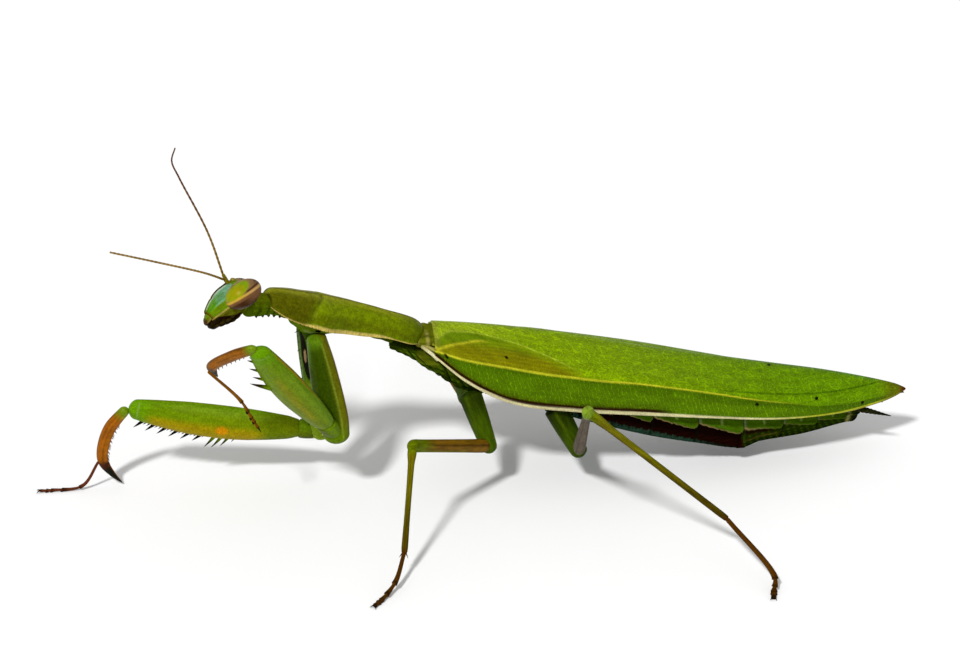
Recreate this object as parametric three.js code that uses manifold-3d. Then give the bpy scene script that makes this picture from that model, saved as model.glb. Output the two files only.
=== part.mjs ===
// Praying mantis, Mantis religiosa, adult female, at life size.
// Millimetres, +Z up. The head points to -X and the left side of the body to -Y. The feet stand on z = 0.
import * as THREE from 'three';
import { mergeVertices } from 'three/addons/utils/BufferGeometryUtils.js';
import Module from 'manifold-3d';

const wasm = await Module();
wasm.setup();

// ---------------------------------------------------------------- driving dimensions

const JOINT_GAP = 0.08;                   // clear space left between neighbouring pieces
const FLOOR = 0;                          // height of the soles

// Fore body: a straight shield that rises and turns to the left from its rear end.
const PRONOTUM_REAR = [-5.75, -0.1, 16.25];
const PRONOTUM_HEADING = 13.6;
const PRONOTUM_PITCH = 23;
const PRONOTUM_ARCH = 0.25;               // rise of the middle line over a straight one
const SHIELD_WIDEST = -0.57;              // height of the shield's side edges, as a share of its half height
const SHIELD_BELLY = 0.2;                 // how far it bulges below them, as a share of its half height
const SHIELD_ROUNDING = [2.3, 0.8];       // length of its rounded rear and front ends
// Distance from the rear end, half width, half height, rise of the section over the middle line.
const PRONOTUM_SHAPE = [
  [0, 1.5, 1.15, 0.04],
  [1.4, 1.85, 1.35, 0],
  [5, 1.85, 1.4, 0],
  [9, 2.0, 1.45, 0],
  [12, 2.8, 1.4, 0],
  [14.4, 2.35, 1.22, 0.06],
  [16.8, 1.75, 0.8, 0.3],
  [18.1, 1.15, 0.35, 0.4],
];
// The soft underside of the fore body: distance, half width, depth below the middle line.
const PROTHORAX_TOP = 1.22;               // how far its upper side lies below the shield's middle line
const PROTHORAX_SHAPE = [
  [3.2, 0.65, 1.7],
  [8, 0.8, 1.75],
  [9.8, 1.2, 2.1],
  [11.2, 1.6, 2.6],
  [13, 1.5, 2.7],
  [14.4, 1.1, 2.1],
];
// The neck: how far along and how far below the shield's middle line it passes, and where it meets the head.
const NECK_PATH = [[15.15, 1.65], [17.2, 1.3]];
const NECK_AT_HEAD = [0.5, 0, -2.08];
const NECK_SHAPE = [
  [0, 1, 0.45],
  [0.45, 0.95, 0.75],
  [1, 0.85, 0.8],
];

const HEAD_CENTRE = [-24.3, -4.85, 24.1]; // midway between the eyes
const HEAD_HEADING = 26;                  // degrees that the head turns to the left
const HEAD_PITCH = -32;                   // slope of the line from the crown to the mouth
const HEAD_ROLL = 27.5;                   // degrees that the left eye is carried above the right one
// Distance from the centre toward the mouth, half width, half depth, middle of the depth.
const HEAD_SHAPE = [
  [-1.35, 1.2, 0.75, -0.05],
  [-0.9, 1.8, 1.25, -0.05],
  [0.2, 2.0, 1.6, 0.08],
  [1.3, 1.8, 1.7, 0.17],
  [2.2, 1.4, 1.55, 0.2],
  [3.1, 1.05, 1.2, 0.2],
  [3.85, 0.8, 0.8, 0.15],
];
const EYE_APART = 2.2;                    // from the middle of the head to the middle of an eye
const EYE_FORWARD = 0.12;                 // how far an eye's middle lies toward the face
const EYE_SIZE = [1.9, 1.35, 1.32];       // half length, half thickness, half depth
const EYE_TILT = 11;                      // degrees that an eye's lower end leans toward the face
// Mouth parts, from root to end: distance toward the mouth, distance toward the face, half width, half depth.
const CLYPEUS = [[4.04, 0.4, 0.75, 0.44], [4.5, 0.12, 0.5, 0.34]];
const JAWS = [[3.94, -0.45, 0.68, 0.3], [4.42, -0.5, 0.45, 0.22]];
const MOUTH_ROUNDING = 0.36;

const ANTENNA_RADIUS = 0.26;
const ANTENNA_BASE = [0.05, 0.42, 1.9];   // toward the mouth, sideways, toward the face
// Where each feeler passes, from near its root to its tip.
const ANTENNA_LEFT = [[-27.7, -7.4, 27.8], [-31.9, -10, 30.3], [-36.5, -13.6, 33.3]];
const ANTENNA_RIGHT = [[-27.1, -4.2, 30.7], [-29.5, -2.4, 35.7], [-30.1, -1.8, 37.2], [-29.7, -1.4, 38.4]];

// Trunk under the wings: x, underside, top, half width.
const THORAX_SHAPE = [
  [-9.2, 15.1, 15.8, 0.8],
  [-7.6, 14.3, 15.7, 1.8],
  [-6, 13.2, 15.1, 2.3],
  [-4.4, 12.0, 15.2, 2.7],
  [-2.4, 10.3, 15.0, 3.0],
  [1.5, 9.3, 14.6, 3.4],
  [7.0, 7.3, 13.4, 3.7],
];
const MESOTHORAX_REAR = -0.4;             // where the mesothorax ends and the metathorax begins

const ABDOMEN_SHAPE = [
  [7.1, 7.0, 13.2, 3.5],
  [11.4, 5.5, 12.4, 4.1],
  [17.6, 3.5, 10.9, 4.3],
  [22.7, 2.2, 9.6, 4.0],
  [27.2, 1.2, 8.4, 3.4],
  [29, 1.8, 8.0, 3.1],
  [33.8, 2.3, 7.0, 2.4],
  [38.3, 3.1, 5.9, 1.3],
  [39.9, 3.1, 5.2, 0.8],
];
const ABDOMEN_RINGS = [7.1, 9.8, 13.2, 17.2, 22, 26.9, 31.2, 35, 38.3];
const PLATE_FRONT = 26.9;                 // the boat-shaped plate that closes the female's tip from below
const PLATE_REAR = 39.8;
const PLATE_TOP = -0.3;                   // upper edge of the plate, as a share of the half height
const CERCUS_ROOT = [38.5, 0.8, 5.3];     // x, distance from the middle, height
const CERCUS_TIP = [43, 1.6, 4.2];
const CERCUS_SHAPE = [
  [0, 0.35, 0.35],
  [0.4, 0.4, 0.4],
  [1, 0.2, 0.2],
];

// Forewings: x, height of the ridge over the middle of the back, then for the shoulder that carries
// the main vein and for the outer edge the distance from the middle and the height.
const WING_SHAPE = [
  [-4.9, 17.15, 2.6, 15.9, 3.0, 14.9],
  [-1.6, 16.75, 3.8, 14.8, 4.3, 12.4],
  [2.6, 16.1, 4.4, 13.8, 5.0, 10.3],
  [9, 14.85, 4.8, 12.5, 5.3, 9.1],
  [16, 13.1, 4.8, 11.2, 5.3, 8.2],
  [23, 11.55, 4.4, 9.6, 5.0, 7.2],
  [30, 10.05, 3.5, 8.05, 4.2, 6.1],
  [37, 8.6, 2.3, 6.9, 2.8, 5.5],
  [42, 7.4, 1.1, 6.5, 1.3, 5.7],
  [44.8, 6.6, 0.25, 6.4, 0.35, 6.3],
];
const WING_THICKNESS = 0.5;
const WING_LAP = 1.2;                     // how far the left wing reaches over the middle of the back
const WING_LAP_FALL = 0.2;                // how far its inner edge lies below the ridge
const WING_STEP_DOWN = 0.62;              // how far the right wing passes below the left one
const WING_UPRIGHT_FROM = 30;             // behind here the shell's thickness turns gradually upright

// Every leg is a chain of straight lengths, each as length, heading and pitch. A heading of 0 points
// forward and 90 straight out from the leg's own side; a pitch of 0 is level and 90 is straight up.
// For a fore leg, bow is how far the tibia's middle line bulges away from its spines and claw is the
// reach of the hook at its end.
const LEGS = {
  fore_left: {
    side: -1, base: [-16.9, -4.6, 18.7], bow: 0.1, claw: 1.9,
    coxa: [10.85, 166, -80.5], femur: [17.29, 42, 51.9], tibia: [6.2, -37, -30],
    basitarsus: [4.6, 178, -56], toes: [3.9, -159, -63],
  },
  fore_right: {
    side: 1, base: [-17.6, -1.2, 18.2], bow: 0.5, claw: 3.2,
    coxa: [12.5, 137.8, -80.6], femur: [19.7, 5, 9.2], tibia: [6.7, 7.8, -62.7],
    basitarsus: [3.45, -14.6, -47.2], toes: [4.3, 1.4, -3.4], stands: true,
  },
  mid_left: {
    side: -1, base: [-1.4, -3.5, 10.5],
    coxa: [5.3, 135, -65], femur: [14.5, 48, 24], tibia: [10.3, 73, -61],
    basitarsus: [3.3, 66, -29], toes: [3.8, 51, -11], stands: true,
  },
  mid_right: {
    side: 1, base: [-1.4, 3.5, 10.5],
    coxa: [5.3, 110, -65], femur: [13.7, 80, 3], tibia: [9.4, 90, -33],
    basitarsus: [3.2, 100, -18], toes: [3.4, 105, -3], stands: true,
  },
  hind_left: {
    side: -1, base: [7.4, -3.6, 8.3],
    coxa: [4.6, 150, -59], femur: [19.5, 83, 39], tibia: [18.6, 178, -42],
    basitarsus: [8, 117, -22], toes: [2.3, 75, -18], stands: true,
  },
  hind_right: {
    side: 1, base: [7.4, 3.6, 8.3],
    coxa: [4.6, 120, -59], femur: [17.4, 71, 2], tibia: [17.4, 180, -12],
    basitarsus: [4.8, 178, -4], toes: [3.8, 176, -2], stands: true,
  },
};
const SOLE_HEIGHT = 0.24;                 // height of a foot's middle line where it lies on the floor
const SOLE_LENGTH = 1.3;

// Walking legs: place along the limb, half width, half height.
const ELBOW = 0.78;                       // radius of the joint between coxa and femur
const WALKING_COXA_SHAPE = [
  [0, 1.1, 1.1],
  [0.5, 1.0, 1.0],
  [1, ELBOW, ELBOW],
];
const WALKING_FEMUR = {
  mid: {
    knee: 0.68,
    shape: [[0, 0.6, 0.68], [0.3, 0.62, 0.68], [0.85, 0.56, 0.62], [0.96, 0.66, 0.68], [1, 0.66, 0.68]],
  },
  hind: {
    knee: 0.72,
    shape: [[0, 0.6, 0.68], [0.3, 0.6, 0.66], [0.85, 0.42, 0.46], [0.96, 0.72, 0.72], [1, 0.72, 0.72]],
  },
};
const WALKING_TIBIA_SHAPE = [
  [0, 0.42, 0.42],
  [0.1, 0.3, 0.34],
  [1, 0.28, 0.28],
];
const TARSUS_SIZE = [0.3, 0.28];

// Fore legs: place along the limb, half thickness, half depth.
const FORE_COXA_SHAPE = [
  [0, 1.1, 1.0],
  [0.3, 1.1, 1.35],
  [0.75, 0.95, 1.55],
  [1, 0.85, 1.2],
];
const FORE_COXA_BEYOND = 0.85;            // how far it reaches past the elbow
const TROCHANTER_LENGTH = 1.42;
const TROCHANTER_SHAPE = [
  [0, 0.75, 0.85],
  [1, 0.85, 1.05],
];
const FORE_FEMUR_SHAPE = [
  [0, 0.7, 0.9],
  [0.08, 0.85, 1.3],
  [0.35, 1.0, 1.8],
  [0.62, 0.95, 1.8],
  [0.82, 0.85, 1.45],
  [0.95, 0.75, 1.1],
  [1, 0.6, 0.9],
];
const FORE_FEMUR_SAG = 0.35;              // how far the middle line bulges toward the spines
const FORE_TIBIA_SHAPE = [
  [0, 0.5, 0.55],
  [0.2, 0.5, 0.68],
  [0.5, 0.42, 0.6],
  [0.75, 0.3, 0.34],
  [1, 0.1, 0.1],
];
const FORE_TARSUS_OFFSET = [0.45, 0.75];  // where it joins the tibia: away from the spines and the body
// Rows of spines: how many, first and last place along the limb, lean to the side, slant toward the end,
// the two lengths that take turns and the radius at the root.
const FEMUR_SPINES = [
  { count: 9, from: 0.9, to: 0.55, lean: 0.3, slant: 0.8, length: [0.8, 1.1], radius: 0.13 },
  { count: 4, from: 0.91, to: 0.6, lean: -1.1, slant: 0.5, length: [1, 1], radius: 0.15 },
  { count: 4, from: 0.5, to: 0.36, lean: 0, slant: 0.9, length: [1.9, 1.9], radius: 0.17 },
];
const TIBIA_SPINES = { count: 8, from: 0.2, to: 0.58, lean: 0, slant: 0.3, length: [0.7, 0.7], radius: 0.12 };

// ---------------------------------------------------------------- helpers

const degrees = THREE.MathUtils.degToRad;
const lerp = THREE.MathUtils.lerp;
const smoothstep = THREE.MathUtils.smoothstep;
const point = (x, y, z) => new THREE.Vector3(x, y, z);
const UP = point(0, 0, 1);
const BACKWARD = point(1, 0, 0);
const along = (start, step, distance) => start.clone().addScaledVector(step, distance);

// Unit vector at a heading to the given side of the body (-1 left, 1 right) and a pitch above level.
function direction(heading, pitch, side = -1) {
  const level = Math.cos(degrees(pitch));
  return point(
    -Math.cos(degrees(heading)) * level,
    side * Math.sin(degrees(heading)) * level,
    Math.sin(degrees(pitch)),
  );
}

// A smooth curve through rows of numbers: the first column is the place and the rest are the values.
function profile(rows) {
  const columns = rows[0].length - 1;
  return place => {
    let k = rows.findIndex(row => row[0] >= place);
    k = THREE.MathUtils.clamp(k < 0 ? rows.length - 1 : k, 1, rows.length - 1);
    const [p0, p1, p2, p3] = [k - 2, k - 1, k, k + 1].map(
      j => rows[THREE.MathUtils.clamp(j, 0, rows.length - 1)],
    );
    const span = p2[0] - p1[0];
    const u = THREE.MathUtils.clamp((place - p1[0]) / span, 0, 1);
    const values = [];
    for (let c = 1; c <= columns; c += 1) {
      const slope1 = (p2[c] - p0[c]) / Math.max(p2[0] - p0[0], span) * span;
      const slope2 = (p3[c] - p1[c]) / Math.max(p3[0] - p1[0], span) * span;
      values.push(
        (2 * u ** 3 - 3 * u ** 2 + 1) * p1[c] + (u ** 3 - 2 * u ** 2 + u) * slope1
        + (3 * u ** 2 - 2 * u ** 3) * p2[c] + (u ** 3 - u ** 2) * slope2,
      );
    }
    return values;
  };
}

// Only positions matter to a solid; shared corners are merged so that it is closed.
function closed(geometry) {
  geometry.deleteAttribute('normal');
  geometry.deleteAttribute('uv');
  const merged = mergeVertices(geometry, 1e-4);
  merged.computeVertexNormals();
  return merged;
}

// A closed form along a line. line(t) gives the middle and size(t) the half width and half height for
// t from 0 to 1. Ends are cut square, or rounded over the given cap lengths. shape(w, h, t) may move a
// point of the section, where w and h run from -1 to 1 across and up. Sections stand square to the line,
// or to the direction facing.
function loft(line, size, options = {}) {
  const { up = UP, sides = 10, rings = 10, capStart = 0, capEnd = 0, shape, facing } = options;
  const geometry = new THREE.CylinderGeometry(1, 1, 1, sides, rings);
  const position = geometry.attributes.position;
  let length = 0;
  for (let k = 0; k < 40; k += 1) length += line(k / 40).distanceTo(line((k + 1) / 40));
  const rounded = capStart > 0 || capEnd > 0;
  const roundness = (distance, cap) => {
    if (cap === 0 || distance >= cap) return 1;
    return Math.max(0.2, Math.sqrt(1 - (1 - distance / cap) ** 2));
  };
  for (let i = 0; i < position.count; i += 1) {
    const v = 0.5 - position.getY(i);
    const t = rounded ? (1 - Math.cos(Math.PI * v)) / 2 : v;
    const middle = line(t);
    const tangent = facing ?? line(Math.min(1, t + 0.01)).sub(line(Math.max(0, t - 0.01))).normalize();
    const across = up.clone().cross(tangent).normalize();
    const top = tangent.clone().cross(across);
    const round = Math.min(roundness(t * length, capStart), roundness((1 - t) * length, capEnd));
    const [wide, high] = size(t);
    let w = position.getX(i);
    let h = position.getZ(i);
    if (shape) [w, h] = shape(w, h, t);
    middle.addScaledVector(across, w * wide * round).addScaledVector(top, h * high * round);
    position.setXYZ(i, middle.x, middle.y, middle.z);
  }
  return closed(geometry);
}

// A straight tapering limb from one point to another; sizes are rows of place (0 to 1), half width
// and half height.
function limb(start, end, sizes, options) {
  const size = profile(sizes);
  return loft(t => start.clone().lerp(end, t), size, options);
}

function flattenOnFloor(geometry) {
  const position = geometry.attributes.position;
  for (let i = 0; i < position.count; i += 1) {
    if (position.getZ(i) < FLOOR) position.setZ(i, FLOOR);
  }
  return geometry;
}

// The solids are joined and cut as closed meshes.
function toSolid(geometry) {
  const source = geometry.index ? geometry : closed(geometry);
  return new wasm.Manifold(new wasm.Mesh({
    numProp: 3,
    vertProperties: new Float32Array(source.attributes.position.array),
    triVerts: new Uint32Array(source.index.array),
  }));
}

function fromSolid(solid) {
  const { vertProperties, triVerts } = solid.getMesh();
  const geometry = new THREE.BufferGeometry();
  geometry.setAttribute('position', new THREE.BufferAttribute(vertProperties, 3));
  geometry.setIndex(new THREE.BufferAttribute(triVerts, 1));
  geometry.computeVertexNormals();
  return geometry;
}

// A pointed spine from a root on a limb. It starts a little inside, so that it fuses with the limb.
function spineAt(root, step, length, radius) {
  const geometry = new THREE.ConeGeometry(radius, length, 4);
  geometry.translate(0, length / 2, 0);
  geometry.applyQuaternion(new THREE.Quaternion().setFromUnitVectors(point(0, 1, 0), step));
  geometry.translate(root.x, root.y, root.z);
  return geometry;
}

function fuse(geometry, extras) {
  let solid = toSolid(geometry);
  for (const extra of extras) solid = solid.add(toSolid(closed(extra)));
  return fromSolid(solid);
}

const mantis = new THREE.Group();

function addPiece(name, geometry, color, roughness = 0.5) {
  const material = new THREE.MeshStandardMaterial({ color, roughness, metalness: 0 });
  const mesh = new THREE.Mesh(geometry, material);
  mesh.name = name;
  mantis.add(mesh);
  return mesh;
}

// ---------------------------------------------------------------- colours

const GREEN = '#6f9417';
const DARK_GREEN = '#3f6310';
const LEAF_GREEN = '#7fae12';
const OLIVE = '#6b7a1c';
const ORANGE = '#b06a14';
const BROWN = '#5a2f1a';
const EYE_GREEN = '#a3b81c';

// ---------------------------------------------------------------- fore body

const pronotumRear = point(...PRONOTUM_REAR);
const foreward = direction(PRONOTUM_HEADING, PRONOTUM_PITCH);
const pronotumLength = PRONOTUM_SHAPE[PRONOTUM_SHAPE.length - 1][0];

function forebodyMiddle(distance) {
  const arch = PRONOTUM_ARCH * Math.sin(Math.PI * distance / pronotumLength);
  return along(pronotumRear, foreward, distance).add(point(0, 0, arch));
}

// Part of the fore body. section gives the height, as a share of the half height, that a height on the
// circle becomes.
function forebody(rows, section, options) {
  const first = rows[0][0];
  const last = rows[rows.length - 1][0];
  const values = profile(rows);
  return loft(
    t => forebodyMiddle(lerp(first, last, t)),
    t => values(lerp(first, last, t)),
    { ...options, shape: (w, h, t) => [w, section(h, values(lerp(first, last, t)))] },
  );
}

function buildShield() {
  const [capStart, capEnd] = SHIELD_ROUNDING;
  const dome = (h, [, high, rise]) => {
    const height = h > 0 ? 1 - SHIELD_WIDEST : SHIELD_BELLY;
    return SHIELD_WIDEST + h * height + rise / high;
  };
  const shield = forebody(PRONOTUM_SHAPE, dome, { sides: 16, rings: 16, capStart, capEnd });
  addPiece('pronotum', shield, GREEN);
}

function buildProthorax() {
  const lower = (h, [, depth]) => lerp(-1, -PROTHORAX_TOP / depth, (h + 1) / 2);
  addPiece('prothorax', forebody(PROTHORAX_SHAPE, lower, { sides: 12, rings: 7 }), LEAF_GREEN);
}

// ---------------------------------------------------------------- head

const headCentre = point(...HEAD_CENTRE);
const headDown = direction(HEAD_HEADING, HEAD_PITCH);
const headTurn = new THREE.Quaternion().setFromAxisAngle(headDown, degrees(HEAD_ROLL));
const headLeft = direction(HEAD_HEADING + 90, 0).applyQuaternion(headTurn);
const headFace = headDown.clone().cross(headLeft).normalize();

// A place in the head's own axes: toward the mouth, toward the left eye, out of the face.
function inHead(down, left, face) {
  return along(along(along(headCentre, headDown, down), headLeft, left), headFace, face);
}

// An eye on the left (1) or right (-1) of the head, larger all round by grow.
function eyeball(side, grow) {
  const [long, thick, deep] = EYE_SIZE;
  const ball = new THREE.SphereGeometry(1, 14, 10);
  ball.scale(long + grow, thick + grow, deep + grow);
  ball.applyMatrix4(new THREE.Matrix4().makeRotationY(degrees(-EYE_TILT)));
  const axes = new THREE.Matrix4().makeBasis(headDown, headLeft, headFace);
  axes.setPosition(inHead(0, side * EYE_APART, EYE_FORWARD));
  return closed(ball.applyMatrix4(axes));
}

function buildHead() {
  const values = profile(HEAD_SHAPE);
  const first = HEAD_SHAPE[0][0];
  const last = HEAD_SHAPE[HEAD_SHAPE.length - 1][0];
  const capsule = loft(
    t => inHead(lerp(first, last, t), 0, values(lerp(first, last, t))[2]),
    t => values(lerp(first, last, t)),
    { up: headFace, sides: 16, rings: 12 },
  );
  const head = toSolid(capsule)
    .subtract(toSolid(eyeball(1, JOINT_GAP)))
    .subtract(toSolid(eyeball(-1, JOINT_GAP)));
  addPiece('head', fromSolid(head), GREEN);
  addPiece('eye_left', eyeball(1, 0), EYE_GREEN, 0.2);
  addPiece('eye_right', eyeball(-1, 0), EYE_GREEN, 0.2);
}

// A rounded stub at the lower end of the head, from a root row to an end row.
function mouthPart([root, end], sides) {
  const at = (column, t) => lerp(root[column], end[column], t);
  return loft(
    t => inHead(at(0, t), 0, at(1, t)),
    t => [at(2, t), at(3, t)],
    { up: headFace, sides, rings: 4, capEnd: MOUTH_ROUNDING },
  );
}

function buildMouth() {
  addPiece('clypeus', mouthPart(CLYPEUS, 10), BROWN);
  addPiece('jaws', mouthPart(JAWS, 8), BROWN);
}

function buildAntenna(name, side, places) {
  const base = inHead(ANTENNA_BASE[0], side * ANTENNA_BASE[1], ANTENNA_BASE[2]);
  const curve = new THREE.CatmullRomCurve3([base, ...places.map(place => point(...place))]);
  const feeler = loft(
    t => curve.getPoint(t),
    () => [ANTENNA_RADIUS, ANTENNA_RADIUS],
    { up: headLeft, sides: 6, rings: 12 },
  );
  addPiece(name, feeler, BROWN);
}

function buildNeck() {
  const under = ([distance, drop]) => forebodyMiddle(distance).add(point(0, 0, -drop));
  const middle = new THREE.CatmullRomCurve3([...NECK_PATH.map(under), inHead(...NECK_AT_HEAD)]);
  const neck = loft(t => middle.getPoint(t), profile(NECK_SHAPE), { sides: 10, rings: 6 });
  addPiece('neck', neck, DARK_GREEN);
}

// ---------------------------------------------------------------- trunk

// A length of the trunk between two places along the body, cut square at both.
function trunk(rows, front, rear, options) {
  const values = profile(rows);
  const at = t => lerp(front, rear, t);
  const middle = t => {
    const [low, high] = values(at(t));
    return point(at(t), 0, (low + high) / 2);
  };
  const size = t => {
    const [low, high, wide] = values(at(t));
    return [wide, (high - low) / 2];
  };
  return loft(middle, size, { ...options, facing: BACKWARD });
}

function buildThorax() {
  const front = THORAX_SHAPE[0][0];
  const rear = THORAX_SHAPE[THORAX_SHAPE.length - 1][0];
  const options = { sides: 12, rings: 6 };
  const mesothorax = trunk(THORAX_SHAPE, front, MESOTHORAX_REAR, options);
  const metathorax = trunk(THORAX_SHAPE, MESOTHORAX_REAR + JOINT_GAP, rear - JOINT_GAP, options);
  addPiece('mesothorax', mesothorax, DARK_GREEN);
  addPiece('metathorax', metathorax, DARK_GREEN);
}

// The hindmost rings keep their upper part only, above the plate.
function buildAbdomen() {
  const ringAbove = PLATE_TOP + 0.05;
  for (let k = 0; k + 1 < ABDOMEN_RINGS.length; k += 1) {
    const front = ABDOMEN_RINGS[k] + (k === 0 ? JOINT_GAP : 0);
    const rear = ABDOMEN_RINGS[k + 1] - JOINT_GAP;
    const overPlate = front >= PLATE_FRONT;
    const shape = overPlate ? (w, h) => [w, Math.max(h, ringAbove)] : undefined;
    const capEnd = k + 2 === ABDOMEN_RINGS.length ? 1 : 0;
    const ring = trunk(ABDOMEN_SHAPE, front, rear, { sides: 12, rings: 3, capEnd, shape });
    addPiece(`abdomen_${k + 1}`, ring, GREEN);
  }
}

function buildPlate() {
  const shape = (w, h) => [w, Math.min(h, PLATE_TOP)];
  const plate = trunk(ABDOMEN_SHAPE, PLATE_FRONT, PLATE_REAR, { sides: 12, rings: 5, shape });
  addPiece('subgenital_plate', plate, GREEN);
}

function buildCercus(name, side) {
  const [root, tip] = [CERCUS_ROOT, CERCUS_TIP].map(([x, out, height]) => point(x, side * out, height));
  addPiece(name, limb(root, tip, CERCUS_SHAPE, { sides: 6, rings: 4 }), BROWN);
}

// ---------------------------------------------------------------- wings

const wingValues = profile(WING_SHAPE);
const wingRoot = WING_SHAPE[0][0];
const wingTip = WING_SHAPE[WING_SHAPE.length - 1][0];

// Outer surface of a wing. Place 0 to 1 runs from the inner edge to the outer edge.
function wingSurface(x, place, side) {
  const [ridge, shoulder, shoulderHeight, edge, edgeHeight] = wingValues(x);
  const lap = side < 0 ? Math.min(WING_LAP, shoulder * 0.45) : 0;
  const inner = lap > 0 ? [point(0, -lap, ridge - WING_LAP_FALL * lap)] : [];
  const roof = new THREE.CatmullRomCurve3([
    ...inner,
    point(0, 0, ridge),
    point(0, shoulder * 0.5, lerp(ridge, shoulderHeight, 0.35)),
    point(0, shoulder, shoulderHeight),
    point(0, edge, edgeHeight),
  ]);
  const spot = roof.getPoint(place);
  const under = 1 - smoothstep(spot.y, WING_LAP * 0.7, WING_LAP + 1.4);
  const sink = side > 0 ? WING_STEP_DOWN * under : 0;
  return point(x, side * spot.y, spot.z - sink);
}

function wingShell(side) {
  const geometry = new THREE.BoxGeometry(1, 1, 1, 22, 8, 1);
  const position = geometry.attributes.position;
  for (let i = 0; i < position.count; i += 1) {
    const x = lerp(wingRoot, wingTip, position.getX(i) + 0.5);
    const place = 0.5 + side * position.getY(i);
    const spot = wingSurface(x, place, side);
    const ahead = wingSurface(Math.min(x + 0.2, wingTip), place, side);
    const behind = wingSurface(Math.max(x - 0.2, wingRoot), place, side);
    const inner = wingSurface(x, Math.max(0, place - 0.03), side);
    const outer = wingSurface(x, Math.min(1, place + 0.03), side);
    const outward = ahead.sub(behind).cross(outer.sub(inner)).normalize();
    if (outward.z < 0) outward.negate();
    outward.lerp(UP, smoothstep(x, WING_UPRIGHT_FROM, wingTip)).normalize();
    spot.addScaledVector(outward, (position.getZ(i) - 0.5) * WING_THICKNESS);
    position.setXYZ(i, spot.x, spot.y, spot.z);
  }
  return closed(geometry);
}

function buildWings() {
  addPiece('forewing_left', wingShell(-1), LEAF_GREEN);
  addPiece('forewing_right', wingShell(1), LEAF_GREEN);
}

// ---------------------------------------------------------------- legs

function legJoints(leg) {
  const joints = [point(...leg.base)];
  for (const part of ['coxa', 'femur', 'tibia', 'basitarsus', 'toes']) {
    const [length, heading, pitch] = leg[part];
    joints.push(along(joints[joints.length - 1], direction(heading, pitch, leg.side), length));
  }
  if (leg.stands) joints[5].z = SOLE_HEIGHT;
  return joints;
}

// The unit vectors from each joint to the next.
function legSteps(joints) {
  return joints.slice(1).map((joint, k) => joint.clone().sub(joints[k]).normalize());
}

function buildWalkingLeg(name, leg, { knee, shape }) {
  const joints = legJoints(leg);
  const steps = legSteps(joints);
  const coxa = limb(
    along(joints[0], steps[0], 0.4), along(joints[1], steps[0], ELBOW),
    WALKING_COXA_SHAPE,
    { sides: 8, rings: 6, capStart: 0.3, capEnd: ELBOW },
  );
  addPiece(`${name}_coxa`, coxa, DARK_GREEN);
  const femur = limb(
    along(joints[1], steps[1], ELBOW + JOINT_GAP), along(joints[2], steps[1], knee),
    shape,
    { sides: 8, rings: 9, capStart: 0.2, capEnd: knee },
  );
  addPiece(`${name}_femur`, femur, OLIVE);
  const tibia = limb(
    along(joints[2], steps[2], knee + JOINT_GAP), along(joints[3], steps[2], -JOINT_GAP / 2),
    WALKING_TIBIA_SHAPE,
    { sides: 6, rings: 4 },
  );
  addPiece(`${name}_tibia`, tibia, OLIVE);
  buildTarsus(name, leg, joints, steps);
}

function buildTarsus(name, leg, joints, steps) {
  const start = along(joints[3], steps[3], JOINT_GAP / 2);
  const level = point(steps[4].x, steps[4].y, 0).normalize();
  const heel = leg.stands ? along(joints[5], level, -SOLE_LENGTH) : joints[4].clone().lerp(joints[5], 0.6);
  const curve = new THREE.CatmullRomCurve3([start, joints[4], heel, joints[5]]);
  const foot = loft(t => curve.getPoint(t), () => TARSUS_SIZE, { sides: 6, rings: 10, capEnd: 0.3 });
  addPiece(`${name}_tarsus`, leg.stands ? flattenOnFloor(foot) : foot, BROWN);
}

// Spines along a limb: line(t) its middle, edge(t) the distance to the edge that carries them, and the
// directions toward that edge, out of the limb's side, and along the limb.
function spineRow(row, line, edge, toward, sideways, onward) {
  return Array.from({ length: row.count }, (_, k) => {
    const t = lerp(row.from, row.to, k / (row.count - 1));
    const root = along(along(line(t), toward, edge(t) * 0.65), sideways, row.lean * 0.5);
    const step = along(along(toward, onward, row.slant), sideways, row.lean).normalize();
    return spineAt(root, step, row.length[k % 2] + edge(t) * 0.2, row.radius);
  });
}

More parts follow.
